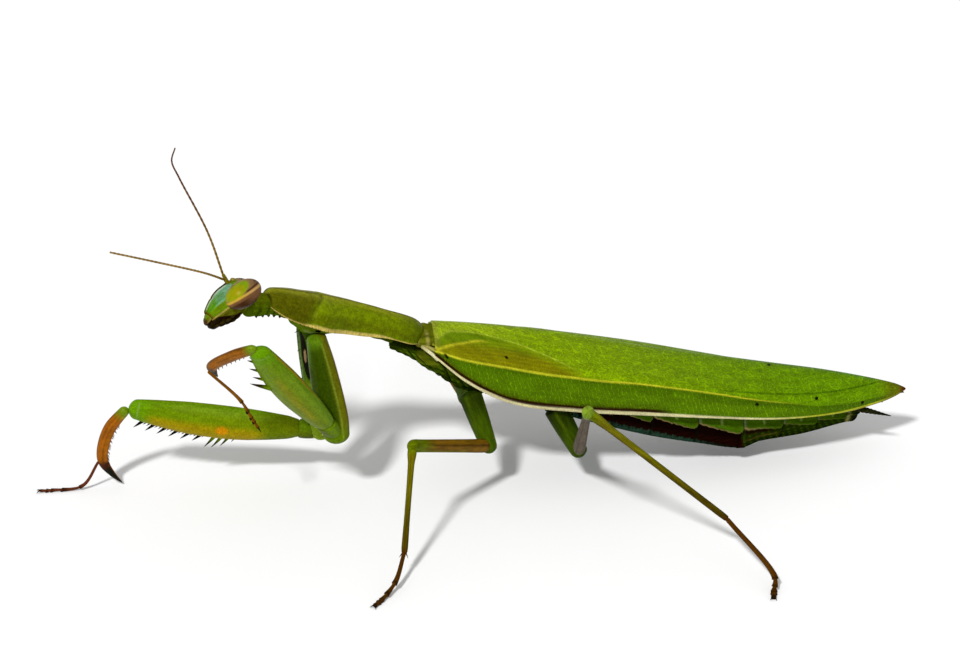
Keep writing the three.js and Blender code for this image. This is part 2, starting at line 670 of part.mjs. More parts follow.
function buildForeleg(name, leg) {
  const joints = legJoints(leg);
  const steps = legSteps(joints);
  const [, elbow, knee, ankle] = joints;
  // The edge of the femur that faces the folding tibia, and the edge of the tibia that faces the femur.
  const femurInner = along(steps[2], steps[1], -steps[2].dot(steps[1])).normalize();
  const tibiaInner = along(steps[1].clone().negate(), steps[2], steps[1].dot(steps[2])).normalize();
  const inward = steps[1].clone().cross(femurInner).multiplyScalar(-1);

  const coxa = grow => limb(
    joints[0], along(elbow, steps[0], FORE_COXA_BEYOND + grow),
    FORE_COXA_SHAPE.map(([place, wide, deep]) => [place, wide + grow, deep + grow]),
    { sides: 10, rings: 7, capStart: 0.4, capEnd: 0.9 },
  );
  addPiece(`${name}_coxa`, coxa(0), GREEN);

  const femurStart = along(elbow, steps[1], 1 + TROCHANTER_LENGTH);
  const trochanter = limb(
    along(elbow, steps[1], 0.95), along(femurStart, steps[1], -JOINT_GAP),
    TROCHANTER_SHAPE,
    { up: femurInner, sides: 10, rings: 3, capStart: 0.4 },
  );
  addPiece(`${name}_trochanter`, fromSolid(toSolid(trochanter).subtract(toSolid(coxa(JOINT_GAP)))), GREEN);

  const femurValues = profile(FORE_FEMUR_SHAPE);
  const femurEnd = along(knee, steps[1], 0.1);
  const femurLine = t => {
    const sag = FORE_FEMUR_SAG * Math.sin(Math.PI * t);
    return along(femurStart.clone().lerp(femurEnd, t), femurInner, sag);
  };
  const options = { up: femurInner, sides: 10, rings: 10, capStart: 0.2, capEnd: 0.7 };
  const femur = loft(femurLine, femurValues, options);
  const thorns = FEMUR_SPINES.flatMap(
    row => spineRow(row, femurLine, t => femurValues(t)[1], femurInner, inward, steps[1]),
  );
  addPiece(`${name}_femur`, fuse(femur, thorns), GREEN);

  const tibiaStart = along(knee, steps[1], 0.75);
  const clawMiddle = along(along(ankle, steps[2], leg.claw * 0.35), tibiaInner, leg.claw * 0.5);
  const clawTip = along(along(ankle, steps[2], leg.claw * 0.5), tibiaInner, leg.claw * 0.9);
  const belly = along(tibiaStart.clone().lerp(ankle, 0.5), tibiaInner, -leg.bow);
  const tibiaCurve = new THREE.CatmullRomCurve3([tibiaStart, belly, ankle, clawMiddle, clawTip]);
  const tibiaValues = profile(FORE_TIBIA_SHAPE);
  const tibiaLine = t => tibiaCurve.getPoint(t);
  const tibia = loft(tibiaLine, tibiaValues, { up: tibiaInner, sides: 8, rings: 12, capStart: 0.3 });
  const teeth = spineRow(TIBIA_SPINES, tibiaLine, t => tibiaValues(t)[1], tibiaInner, inward, steps[2]);
  addPiece(`${name}_tibia`, fuse(tibia, teeth), ORANGE);

  const [away, outward] = FORE_TARSUS_OFFSET;
  joints[3] = along(along(ankle, tibiaInner, -away), inward, -outward);
  buildTarsus(name, leg, joints, steps);
}

// ---------------------------------------------------------------- assembly

buildShield();
buildProthorax();
buildHead();
buildMouth();
buildAntenna('antenna_right', -1, ANTENNA_RIGHT);
buildAntenna('antenna_left', 1, ANTENNA_LEFT);
buildNeck();
buildThorax();
buildWings();
buildAbdomen();
buildPlate();
buildCercus('cercus_left', -1);
buildCercus('cercus_right', 1);
for (const side of ['left', 'right']) {
  buildForeleg(`fore_${side}`, LEGS[`fore_${side}`]);
  buildWalkingLeg(`mid_${side}`, LEGS[`mid_${side}`], WALKING_FEMUR.mid);
  buildWalkingLeg(`hind_${side}`, LEGS[`hind_${side}`], WALKING_FEMUR.hind);
}

// The finished model stands with the middle of its outline over the origin.
const outline = new THREE.Box3().setFromObject(mantis);
const middle = outline.getCenter(point(0, 0, 0));
mantis.position.set(-middle.x, -middle.y, -outline.min.z);

export default mantis;
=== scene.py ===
"""Praying mantis, Mantis religiosa, adult female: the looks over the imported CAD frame."""

import math
import random
import bpy
import numpy as np
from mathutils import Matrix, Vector


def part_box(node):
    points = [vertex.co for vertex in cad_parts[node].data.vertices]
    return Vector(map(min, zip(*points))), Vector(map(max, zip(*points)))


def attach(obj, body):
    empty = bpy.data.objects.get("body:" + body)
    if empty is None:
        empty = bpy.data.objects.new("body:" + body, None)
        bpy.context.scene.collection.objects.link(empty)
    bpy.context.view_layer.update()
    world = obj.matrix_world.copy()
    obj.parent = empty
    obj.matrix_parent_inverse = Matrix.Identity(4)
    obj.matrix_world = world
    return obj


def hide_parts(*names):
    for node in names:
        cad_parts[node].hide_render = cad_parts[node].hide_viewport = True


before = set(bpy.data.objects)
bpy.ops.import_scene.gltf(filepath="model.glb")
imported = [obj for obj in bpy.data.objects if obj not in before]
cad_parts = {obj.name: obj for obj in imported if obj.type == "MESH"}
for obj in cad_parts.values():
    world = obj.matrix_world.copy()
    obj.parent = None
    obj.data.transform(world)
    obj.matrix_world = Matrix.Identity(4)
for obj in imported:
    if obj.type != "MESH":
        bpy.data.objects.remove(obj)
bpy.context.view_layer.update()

MM = 0.001
random.seed(7)
UP = np.array([0.0, 0, 1])
BACKWARD = np.array([1.0, 0, 0])

# ---- where the CAD stands

# The CAD source is written about the wing tip and the middle of the back, and then centred. The same
# numbers are used here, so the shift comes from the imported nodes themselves, in millimetres.
WING_TIP_X = 44.8
wing_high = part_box("forewing_left")[1]
ring_low, ring_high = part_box("abdomen_3")
SHIFT = np.array([wing_high.x / MM - WING_TIP_X, (ring_low.y + ring_high.y) / 2 / MM, 0])

# ---- sizes shared with the CAD (millimetres)

PRONOTUM_REAR = np.array([-5.75, -0.1, 16.25])
PRONOTUM_HEADING, PRONOTUM_PITCH, PRONOTUM_ARCH = 13.6, 23, 0.25
SHIELD_WIDEST, SHIELD_BELLY, PROTHORAX_TOP = -0.57, 0.2, 1.22
# Rows along the shield: distance from its rear, half width, half height and rise of the middle.
PRONOTUM_SHAPE = [
    [0, 1.5, 1.15, 0.04], [1.4, 1.85, 1.35, 0], [5, 1.85, 1.4, 0], [9, 2.0, 1.45, 0], [12, 2.8, 1.4, 0],
    [14.4, 2.35, 1.22, 0.06], [16.8, 1.75, 0.8, 0.3], [18.1, 1.15, 0.35, 0.4],
]
# Rows along the flesh under the shield: distance, half width and half height.
PROTHORAX_SHAPE = [
    [3.2, 0.65, 1.7], [8, 0.8, 1.75], [9.8, 1.2, 2.1], [11.2, 1.6, 2.6], [13, 1.5, 2.7], [14.4, 1.1, 2.1],
]
HEAD_CENTRE = np.array([-24.3, -4.85, 24.1])
HEAD_HEADING, HEAD_PITCH, HEAD_ROLL = 26, -32, 27.5
# Rows down the head: place, half width, half depth and how far the middle lies to the face.
HEAD_SHAPE = [
    [-1.35, 1.2, 0.75, -0.05], [-0.9, 1.8, 1.25, -0.05], [0.2, 2.0, 1.6, 0.08], [1.3, 1.8, 1.7, 0.17],
    [2.2, 1.4, 1.55, 0.2], [3.1, 1.05, 1.2, 0.2], [3.85, 0.8, 0.8, 0.15],
]
EYE_APART, EYE_FORWARD, EYE_SIZE, EYE_TILT = 2.2, 0.12, (1.9, 1.35, 1.32), 11
ANTENNA_BASE, ANTENNA_JOINT = (0.05, 0.42, 1.9), 0.3
ANTENNAE = {
    "left": [[-27.7, -7.4, 27.8], [-31.9, -10, 30.3], [-36.5, -13.6, 33.3]],
    "right": [[-27.1, -4.2, 30.7], [-29.5, -2.4, 35.7], [-30.1, -1.8, 37.2], [-29.7, -1.4, 38.4]],
}
# Rows along the trunk: place, lowest point, highest point and half width.
THORAX_SHAPE = [
    [-9.2, 15.1, 15.8, 0.8], [-7.6, 14.3, 15.7, 1.8], [-6, 13.2, 15.1, 2.3], [-4.4, 12, 15.2, 2.7],
    [-2.4, 10.3, 15, 3], [1.5, 9.3, 14.6, 3.4], [7, 7.3, 13.4, 3.7],
]
THORAX_FRONT, THORAX_REAR = -9.2, 7.4
ABDOMEN_SHAPE = [
    [7.1, 7.0, 13.2, 3.5], [11.4, 5.5, 12.4, 4.1], [17.6, 3.5, 10.9, 4.3], [22.7, 2.2, 9.6, 4.0],
    [27.2, 1.2, 8.4, 3.4], [29, 1.8, 8.0, 3.1], [33.8, 2.3, 7.0, 2.4], [38.3, 3.1, 5.9, 1.3],
    [39.9, 3.1, 5.2, 0.8],
]
ABDOMEN_RINGS = [7.1, 9.8, 13.2, 17.2, 22, 26.9, 31.2, 35, 38.3]
ABDOMEN_FRONT, ABDOMEN_REAR, PLATE_FRONT = 6.6, 39.9, 26.9
# Rows along a wing: place, height of its ridge, then y and z of the shoulder and of the outer edge.
WING_SHAPE = [
    [-4.9, 17.15, 2.6, 15.9, 3.0, 14.9], [-1.6, 16.75, 3.8, 14.8, 4.3, 12.4],
    [2.6, 16.1, 4.4, 13.8, 5.0, 10.3], [9, 14.85, 4.8, 12.5, 5.3, 9.1], [16, 13.1, 4.8, 11.2, 5.3, 8.2],
    [23, 11.55, 4.4, 9.6, 5.0, 7.2], [30, 10.05, 3.5, 8.05, 4.2, 6.1], [37, 8.6, 2.3, 6.9, 2.8, 5.5],
    [42, 7.4, 1.1, 6.5, 1.3, 5.7], [44.8, 6.6, 0.25, 6.4, 0.35, 6.3],
]
WING_THICKNESS, WING_LAP, WING_LAP_FALL, WING_STEP_DOWN = 0.5, 1.2, 0.2, 0.62
WING_UPRIGHT_FROM = 30
# Each part of a leg: its length, heading and pitch, in millimetres and degrees.
LEGS = {
    "fore_left": dict(
        side=-1, base=[-16.9, -4.6, 18.7], bow=0.1, claw=1.9, coxa=[10.85, 166, -80.5],
        femur=[17.29, 42, 51.9], tibia=[6.2, -37, -30], basitarsus=[4.6, 178, -56],
        toes=[3.9, -159, -63], stands=False),
    "fore_right": dict(
        side=1, base=[-17.6, -1.2, 18.2], bow=0.5, claw=3.2, coxa=[12.5, 137.8, -80.6], femur=[19.7, 5, 9.2],
        tibia=[6.7, 7.8, -62.7], basitarsus=[3.45, -14.6, -47.2], toes=[4.3, 1.4, -3.4], stands=True),
    "mid_left": dict(
        side=-1, base=[-1.4, -3.5, 10.5], coxa=[5.3, 135, -65], femur=[14.5, 48, 24], tibia=[10.3, 73, -61],
        basitarsus=[3.3, 66, -29], toes=[3.8, 51, -11], stands=True),
    "mid_right": dict(
        side=1, base=[-1.4, 3.5, 10.5], coxa=[5.3, 110, -65], femur=[13.7, 80, 3], tibia=[9.4, 90, -33],
        basitarsus=[3.2, 100, -18], toes=[3.4, 105, -3], stands=True),
    "hind_left": dict(
        side=-1, base=[7.4, -3.6, 8.3], coxa=[4.6, 150, -59], femur=[19.5, 83, 39], tibia=[18.6, 178, -42],
        basitarsus=[8, 117, -22], toes=[2.3, 75, -18], stands=True),
    "hind_right": dict(
        side=1, base=[7.4, 3.6, 8.3], coxa=[4.6, 120, -59], femur=[17.4, 71, 2], tibia=[17.4, 180, -12],
        basitarsus=[4.8, 178, -4], toes=[3.8, 176, -2], stands=True),
}
SOLE_HEIGHT, SOLE_LENGTH = 0.24, 1.3
# Rows along the grasping femur: share of its length, half width and half depth.
FORE_FEMUR_SHAPE = [
    [0, 0.7, 0.9], [0.08, 0.85, 1.3], [0.35, 1.0, 1.8], [0.62, 0.95, 1.8], [0.82, 0.85, 1.45],
    [0.95, 0.75, 1.1], [1, 0.6, 0.9],
]
FORE_FEMUR_SAG = 0.35
TROCHANTER_LENGTH = 1.42


# ---- small mathematics

def unit(v):
    v = np.asarray(v, float)
    return v / np.maximum(np.linalg.norm(v, axis=-1, keepdims=True), 1e-12)


def direction(heading, pitch, side=-1):
    h, p = math.radians(heading), math.radians(pitch)
    return np.array([-math.cos(h) * math.cos(p), side * math.sin(h) * math.cos(p), math.sin(p)])


def lerp(a, b, t):
    return a + (b - a) * t


def ease(x, low, high):
    """0 below low, 1 above high and smooth between; low may be above high."""
    u = np.clip((np.asarray(x, float) - low) / (high - low), 0, 1)
    return u * u * (3 - 2 * u)


def band(x, low, high, soft):
    """1 between low and high, falling smoothly to 0 over soft on either side."""
    return ease(x, low - soft, low) * (1 - ease(x, high, high + soft))


def bump_at(x, middle, width):
    return np.exp(-((x - middle) / width) ** 2)


def hermite(u, start, start_slope, end, end_slope):
    return ((2 * u ** 3 - 3 * u ** 2 + 1) * start + (u ** 3 - 2 * u ** 2 + u) * start_slope
            + (3 * u ** 2 - 2 * u ** 3) * end + (u ** 3 - u ** 2) * end_slope)


def profile(rows):
    """A smooth curve through rows of numbers: the first column is the place and the rest are values."""
    rows = np.asarray(rows, float)

    def at(place):
        place = np.atleast_1d(np.asarray(place, float))
        k = np.clip(np.searchsorted(rows[:, 0], place), 1, len(rows) - 1)
        p0, p1, p2, p3 = (rows[np.clip(j, 0, len(rows) - 1)] for j in (k - 2, k - 1, k, k + 1))
        span = p2[:, :1] - p1[:, :1]
        u = np.clip((place[:, None] - p1[:, :1]) / span, 0, 1)
        slope1 = (p2 - p0) / np.maximum(p2[:, :1] - p0[:, :1], span) * span
        slope2 = (p3 - p1) / np.maximum(p3[:, :1] - p1[:, :1], span) * span
        return hermite(u, p1, slope1, p2, slope2)[:, 1:]

    return at


def spline(points):
    """The centripetal Catmull-Rom curve that the CAD uses, for t from 0 to 1."""
    p = np.asarray(points, float)
    ends = np.vstack([2 * p[0] - p[1], p, 2 * p[-1] - p[-2]])

    def at(t):
        s = np.clip(np.atleast_1d(np.asarray(t, float)), 0, 1) * (len(p) - 1)
        k = np.minimum(s.astype(int), len(p) - 2)
        w = (s - k)[:, None]
        p0, p1, p2, p3 = ends[k], ends[k + 1], ends[k + 2], ends[k + 3]
        d0, d1, d2 = (np.maximum(((b - a) ** 2).sum(1) ** 0.25, 1e-4)[:, None]
                      for a, b in ((p0, p1), (p1, p2), (p2, p3)))
        t1 = ((p1 - p0) / d0 - (p2 - p0) / (d0 + d1) + (p2 - p1) / d1) * d1
        t2 = ((p2 - p1) / d1 - (p3 - p1) / (d1 + d2) + (p3 - p2) / d2) * d1
        return hermite(w, p1, t1, p2, t2)

    return at


def straight(start, end):
    start, end = np.asarray(start, float), np.asarray(end, float)
    return lambda t: start + (end - start) * np.atleast_1d(t)[:, None]


def tapered(wide, wide_end, high, high_end):
    """Half sizes that change evenly along a line."""
    return lambda t: np.stack([lerp(wide, wide_end, t), lerp(high, high_end, t)], 1)


def round_section(radius):
    """Half sizes of a round form, from its radius at t."""
    return lambda t: np.repeat(radius(np.atleast_1d(t))[:, None], 2, 1)


# The hex colours are those seen under the studio light, so the surface's own colours are this much darker.
TINT_LEVEL = 0.66
LEAST_BLUE = 0.3       # the least share of its blue that a colour keeps


def colour(text):
    """Linear colour from hex sRGB text; a colour or a tint in numbers stays as it is."""
    if not isinstance(text, str):
        return text
    c = np.array([int(text[k:k + 2], 16) / 255 for k in (0, 2, 4)])
    linear = np.where(c <= 0.04045, c / 12.92, ((c + 0.055) / 1.055) ** 2.4) * TINT_LEVEL
    # Green and yellow cuticle takes up nearly all blue light.
    linear[2] *= np.clip(2 * linear[2] / max(linear[1], 1e-6), LEAST_BLUE, 1)
    return linear


def mix(a, b, w):
    a, b = colour(a), colour(b)
    w = np.asarray(w, float)[..., None]
    return a * (1 - w) + b * w


def paint(tint, *layers):
    """A tint with layers over it. Each layer is a colour and how much of it shows at each place."""
    for layer, weight in layers:
        tint = mix(tint, layer, weight)
    return tint


# ---- meshes

class Sheet:
    """A grid of points swept along a line: rows along it and columns round it."""

    def __init__(self, points, t, angle, length, girth):
        self.points, self.t, self.angle = points, t, angle
        self.length, self.girth = length, girth
        # For rules of shape and tint: each row's share along, and each column's degrees round from the top.
        self.along = t[:, None]
        self.turn = np.degrees(np.where(angle > np.pi, angle - 2 * np.pi, angle))[None]
        self.side = abs(self.turn)

    def normals(self):
        p = self.points
        along = np.gradient(p, axis=0)
        around = np.roll(p, -1, 1) - np.roll(p, 1, 1)
        n = np.cross(around, along)
        middle = p.mean(1, keepdims=True)
        outward = np.sign(np.sum(n * (p - middle)))
        return unit(n) * (outward or 1)

    def push(self, amount):
        self.points = self.points + self.normals() * np.broadcast_to(amount, self.points.shape[:2])[..., None]
        return self


def sweep(line, size, up=UP, rings=60, sides=24, caps=(0, 0), facing=None, section=None):
    """A closed form along a line, as in the CAD. line(t) is the middle and size(t) the half sizes."""
    v = np.linspace(0, 1, rings + 1)
    t = (1 - np.cos(np.pi * v)) / 2 if max(caps) > 0 else v
    middle = line(t)
    length = np.linalg.norm(np.diff(middle, axis=0), axis=1).sum()
    if facing is None:
        tangent = unit(line(np.minimum(1, t + 0.01)) - line(np.maximum(0, t - 0.01)))
    else:
        tangent = np.broadcast_to(facing, middle.shape)
    across = unit(np.cross(np.broadcast_to(up, middle.shape), tangent))
    top = np.cross(tangent, across)

    def roundness(distance, cap):
        if not cap:
            return np.ones_like(distance)
        return np.sqrt(np.clip(1 - (1 - np.minimum(distance / cap, 1)) ** 2, 0, 1))

    shrink = np.minimum(roundness(t * length, caps[0]), roundness((1 - t) * length, caps[1]))
    wide, high = size(t)[:, 0], size(t)[:, 1]
    angle = np.arange(sides) / sides * 2 * np.pi
    w, h = np.broadcast_to(np.sin(angle), (len(t), sides)), np.broadcast_to(np.cos(angle), (len(t), sides))
    if section is not None:
        w, h = section(w, h, t[:, None])
    points = (middle[:, None] + across[:, None] * (w * (wide * shrink)[:, None])[..., None]
              + top[:, None] * (h * (high * shrink)[:, None])[..., None])
    girth = 2 * np.pi * float(np.mean((wide + high) / 2))
    return Sheet(points, t, angle, length, girth)


def signed_volume(points, *groups):
    """More than 0 where the faces of a closed form look outward; each group has faces of one kind."""
    volume = 0
    for faces in groups:
        for k in range(1, faces.shape[1] - 1):
            wedge = np.cross(points[faces[:, k]], points[faces[:, k + 1]])
            volume += (points[faces[:, 0]] * wedge).sum()
    return volume


class Piece:
    """Collects closed forms with a tint and a place on the surface for every point."""

    def __init__(self):
        self.points, self.faces, self.tint, self.place, self.kind, self.count = [], [], [], [], [], 0

    def sheet(self, sheet, tint, kind=0):
        """Adds a swept form, closed at both ends."""
        p = sheet.points
        n, m = p.shape[:2]
        tint = np.broadcast_to(colour(tint), (n, m, 3))
        along = np.broadcast_to((sheet.t * sheet.length)[:, None], (n, m))
        around = np.broadcast_to(sheet.angle[None] / (2 * np.pi) * sheet.girth, (n, m))
        place = np.stack([along, around, np.full((n, m), self.count % 97)], -1)
        k = np.arange(n * m).reshape(n, m)
        right = np.roll(k, -1, 1)
        quads = np.stack([k[:-1], right[:-1], right[1:], k[1:]], -1).reshape(-1, 4)
        first, last = n * m, n * m + 1
        start = np.stack([np.full(m, first), right[0], k[0]], -1)
        end = np.stack([np.full(m, last), k[-1], right[-1]], -1)
        points = np.vstack([p.reshape(-1, 3), p[0].mean(0), p[-1].mean(0)])
        if signed_volume(points, quads, start, end) < 0:
            quads, start, end = quads[:, ::-1], start[:, ::-1], end[:, ::-1]
        self.points.append(points)
        self.faces += [quads + self.count, start + self.count, end + self.count]
        self.kind += [np.full(len(f), kind) for f in (quads, start, end)]
        self.tint.append(np.vstack([tint.reshape(-1, 3), tint[0].mean(0), tint[-1].mean(0)]))
        self.place.append(np.vstack([place.reshape(-1, 3), place[0].mean(0), place[-1].mean(0)]))
        self.count += len(points)
        return self

    def build(self, name, slot, materials, nodes, extra=()):
        points = (np.vstack(self.points) + SHIFT) * MM
        mesh = bpy.data.meshes.new(name)
        sizes = np.concatenate([np.full(len(f), f.shape[1]) for f in self.faces])
        corners = np.concatenate([f.ravel() for f in self.faces])
        mesh.vertices.add(len(points))
        mesh.vertices.foreach_set("co", points.astype(np.float32).ravel())
        mesh.loops.add(len(corners))
        mesh.loops.foreach_set("vertex_index", corners.astype(np.int32))
        mesh.polygons.add(len(sizes))
        starts = np.concatenate([[0], np.cumsum(sizes)[:-1]])
        facts = dict(loop_start=starts, loop_total=sizes, material_index=np.concatenate(self.kind),
                     use_smooth=np.ones(len(sizes)))
        for key, values in facts.items():
            mesh.polygons.foreach_set(key, values.astype(np.int32))
        mesh.update(calc_edges=True)
        tint = mesh.color_attributes.new("tint", "FLOAT_COLOR", "POINT")
        rgba = np.hstack([np.clip(np.vstack(self.tint), 0, 1), np.ones((len(points), 1))])
        tint.data.foreach_set("color", rgba.astype(np.float32).ravel())
        for key, values in (("place", np.vstack(self.place)), *extra):
            made = mesh.attributes.new(key, "FLOAT_VECTOR", "POINT")
            made.data.foreach_set("vector", np.asarray(values, np.float32).ravel())
        for material in materials:
            mesh.materials.append(material)
        piece = bpy.data.objects.new(name, mesh)
        bpy.context.scene.collection.objects.link(piece)
        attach(piece, "root")
        if nodes:
            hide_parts(*nodes)


THORN_POINT = 0.006


def thorn(piece, root, step, length, radius, root_tint, tip_tint, bend=None, sides=8, kind=0):
    """A tapering spine, bent toward bend, dark toward its tip."""
    root, step = np.asarray(root, float), unit(step)
    bend = np.zeros(3) if bend is None else np.asarray(bend, float)
    side = np.cross(step, UP if abs(step[2]) < 0.9 else BACKWARD)
    line = lambda t: root + step * t[:, None] * length + bend * t[:, None] ** 2 * length
    size = round_section(lambda t: radius * (1 - t) ** 0.8 + THORN_POINT)
    form = sweep(line, size, up=side, rings=6, sides=sides)
    tint = mix(root_tint, tip_tint, ease(form.t, 0.15, 0.6))[:, None]
    piece.sheet(form, tint, kind)


# ---- materials

class Net:
    """Shorthand for a material's nodes."""

    def __init__(self, name, roughness, specular, **sockets):
        self.material = bpy.data.materials.new(name)
        self.material.use_nodes = True
        self.tree = self.material.node_tree
        self.shader = self.tree.nodes["Principled BSDF"]
        sockets.update(Roughness=roughness, Specular_IOR_Level=specular)
        for key, value in sockets.items():
            self.shader.inputs[key.replace("_", " ")].default_value = value

    def node(self, kind, inputs, output=0, **settings):
        """A new node's output; its inputs are numbers or other nodes' outputs, by name or position."""
        made = self.tree.nodes.new("ShaderNode" + kind)
        for key, value in settings.items():
            setattr(made, key, value)
        for key, value in inputs.items():
            self.put(made.inputs[key], value)
        return made.outputs if output is None else made.outputs[output]

    def put(self, socket, value):
        if isinstance(value, bpy.types.NodeSocket):
            self.tree.links.new(value, socket)
        elif value is not None:
            socket.default_value = value

    def attribute(self, name, output="Vector"):
        return self.node("Attribute", {}, output, attribute_name=name)

    def math(self, operation, a, b=None):
        return self.node("Math", {0: a, 1: b}, operation=operation)

    def add(self, a, b):
        return self.math("ADD", a, b)

    def times(self, a, b):
        return self.math("MULTIPLY", a, b)

    def wave(self, angle):
        return self.math("ABSOLUTE", self.math("SINE", angle))

    def parts(self, vector):
        return self.node("SeparateXYZ", {0: vector}, None)

    def scaled(self, vector, scale):
        return self.node("Mapping", {"Vector": vector, "Scale": scale}, vector_type="POINT")

    def noise(self, vector, scale, detail=3):
        inputs = {"Vector": vector, "Scale": scale, "Detail": detail, "Roughness": 0.55}
        return self.node("TexNoise", inputs, "Fac")

    def cells(self, vector, scale, feature="F1"):
        return self.node("TexVoronoi", {"Vector": vector, "Scale": scale}, "Distance", feature=feature)

    def step(self, value, low, high, start=0.0, end=1.0):
        limits = {"Value": value, "From Min": low, "From Max": high, "To Min": start, "To Max": end}
        return self.node("MapRange", limits, "Result", interpolation_type="SMOOTHSTEP")

    def bump(self, height, distance, strength, normal=None):
        inputs = {"Height": height, "Distance": distance, "Strength": strength, "Normal": normal}
        return self.node("Bump", inputs)

    def finish(self, base, normal=None, roughness=None):
        for key, value in (("Base Color", base), ("Normal", normal), ("Roughness", roughness)):
            self.put(self.shader.inputs[key], value)
        return self.material

    def shade(self, base, factor, low, high):
        """base made darker and lighter by a factor from 0 to 1."""
        return self.node("HueSaturation", {"Color": base, "Value": self.step(factor, 0.3, 0.7, low, high)})


WARM_GLOSS = (0.9, 1.0, 0.2, 1)


def cuticle(name, roughness=0.42, grain=0.12, grain_depth=0.02, streak=(0.25, 1, 1), mottle=(0.8, 1.2),
            coat=0.0, gloss=0.06):
    """Satin cuticle: streaky mottling of the tint, fine granules in the surface. Sizes in millimetres."""
    net = Net(name, roughness, gloss, Coat_Weight=coat, Coat_Roughness=0.25, Specular_Tint=WARM_GLOSS)
    tint = net.attribute("tint", "Color")
    place = net.attribute("place")
    streaks = net.noise(net.scaled(place, streak), 3.2, 4)
    fine = net.noise(place, 11, 3)
    base = net.shade(tint, streaks, *mottle)
    base = net.shade(base, fine, 0.84, 1.16)
    grains = net.cells(place, 1 / grain)
    base = net.shade(base, grains, 1.07, 0.86)
    normal = net.bump(grains, -grain_depth * MM, 0.7)
    normal = net.bump(streaks, 0.05 * MM, 0.35, normal)
    rough = net.step(fine, 0.2, 0.8, roughness - 0.08, roughness + 0.12)
    return net.finish(base, normal, rough)


skin_material = cuticle("cuticle", gloss=0.0)
shield_material = cuticle("granulate_shield", 0.4, grain=0.16, grain_depth=0.05, streak=(0.5, 1, 1))
arm_material = cuticle("arm_cuticle", 0.38, grain=0.2, grain_depth=0.03, mottle=(0.88, 1.12))
leg_material = cuticle("leg_cuticle", 0.5, gloss=0.03, grain=0.1, grain_depth=0.02, streak=(0.18, 1, 1),
                       mottle=(0.7, 1.25))
horn_material = cuticle("horn", 0.32, grain=0.3, grain_depth=0.01, streak=(0.2, 1, 1), mottle=(0.75, 1.15),
                        coat=0.12)
mouth_material = cuticle("mouthparts", 0.35, grain=0.15, grain_depth=0.03)


def make_eye_material():
    net = Net("eye", 0.34, 0.1, Coat_Weight=0.03, Coat_Roughness=0.25, Specular_Tint=WARM_GLOSS)
    tint = net.attribute("tint", "Color")
    place = net.attribute("place")
    cloud = net.noise(place, 2.2, 3)
    base = net.shade(tint, cloud, 0.9, 1.1)
    facets = net.cells(place, 22)
    return net.finish(base, net.bump(facets, -0.006 * MM, 0.5))


eye_material = make_eye_material()

# ---- fore body

foreward = direction(PRONOTUM_HEADING, PRONOTUM_PITCH)
fore_length = PRONOTUM_SHAPE[-1][0]


def forebody_middle(distance):
    distance = np.atleast_1d(np.asarray(distance, float))
    arch = PRONOTUM_ARCH * np.sin(np.pi * distance / fore_length)
    return PRONOTUM_REAR + foreward * distance[:, None] + UP * arch[:, None]


OLIVE_BROWN, SHIELD_GREEN = "60620a", "7c9008"
SHIELD_TOP, RIM_TAN, RIM_PALE = "a4a820", "e0c87c", "d0d08c"
# How far the rim hangs below the CAD's section, against the distance along the shield from its rear.
RIM_DROP = [[0, 0], [4.3, 0], [7.5, 0.42], [10.5, 0.55], [12.7, 0.45], [15.8, 0.62], [18, 0.45]]


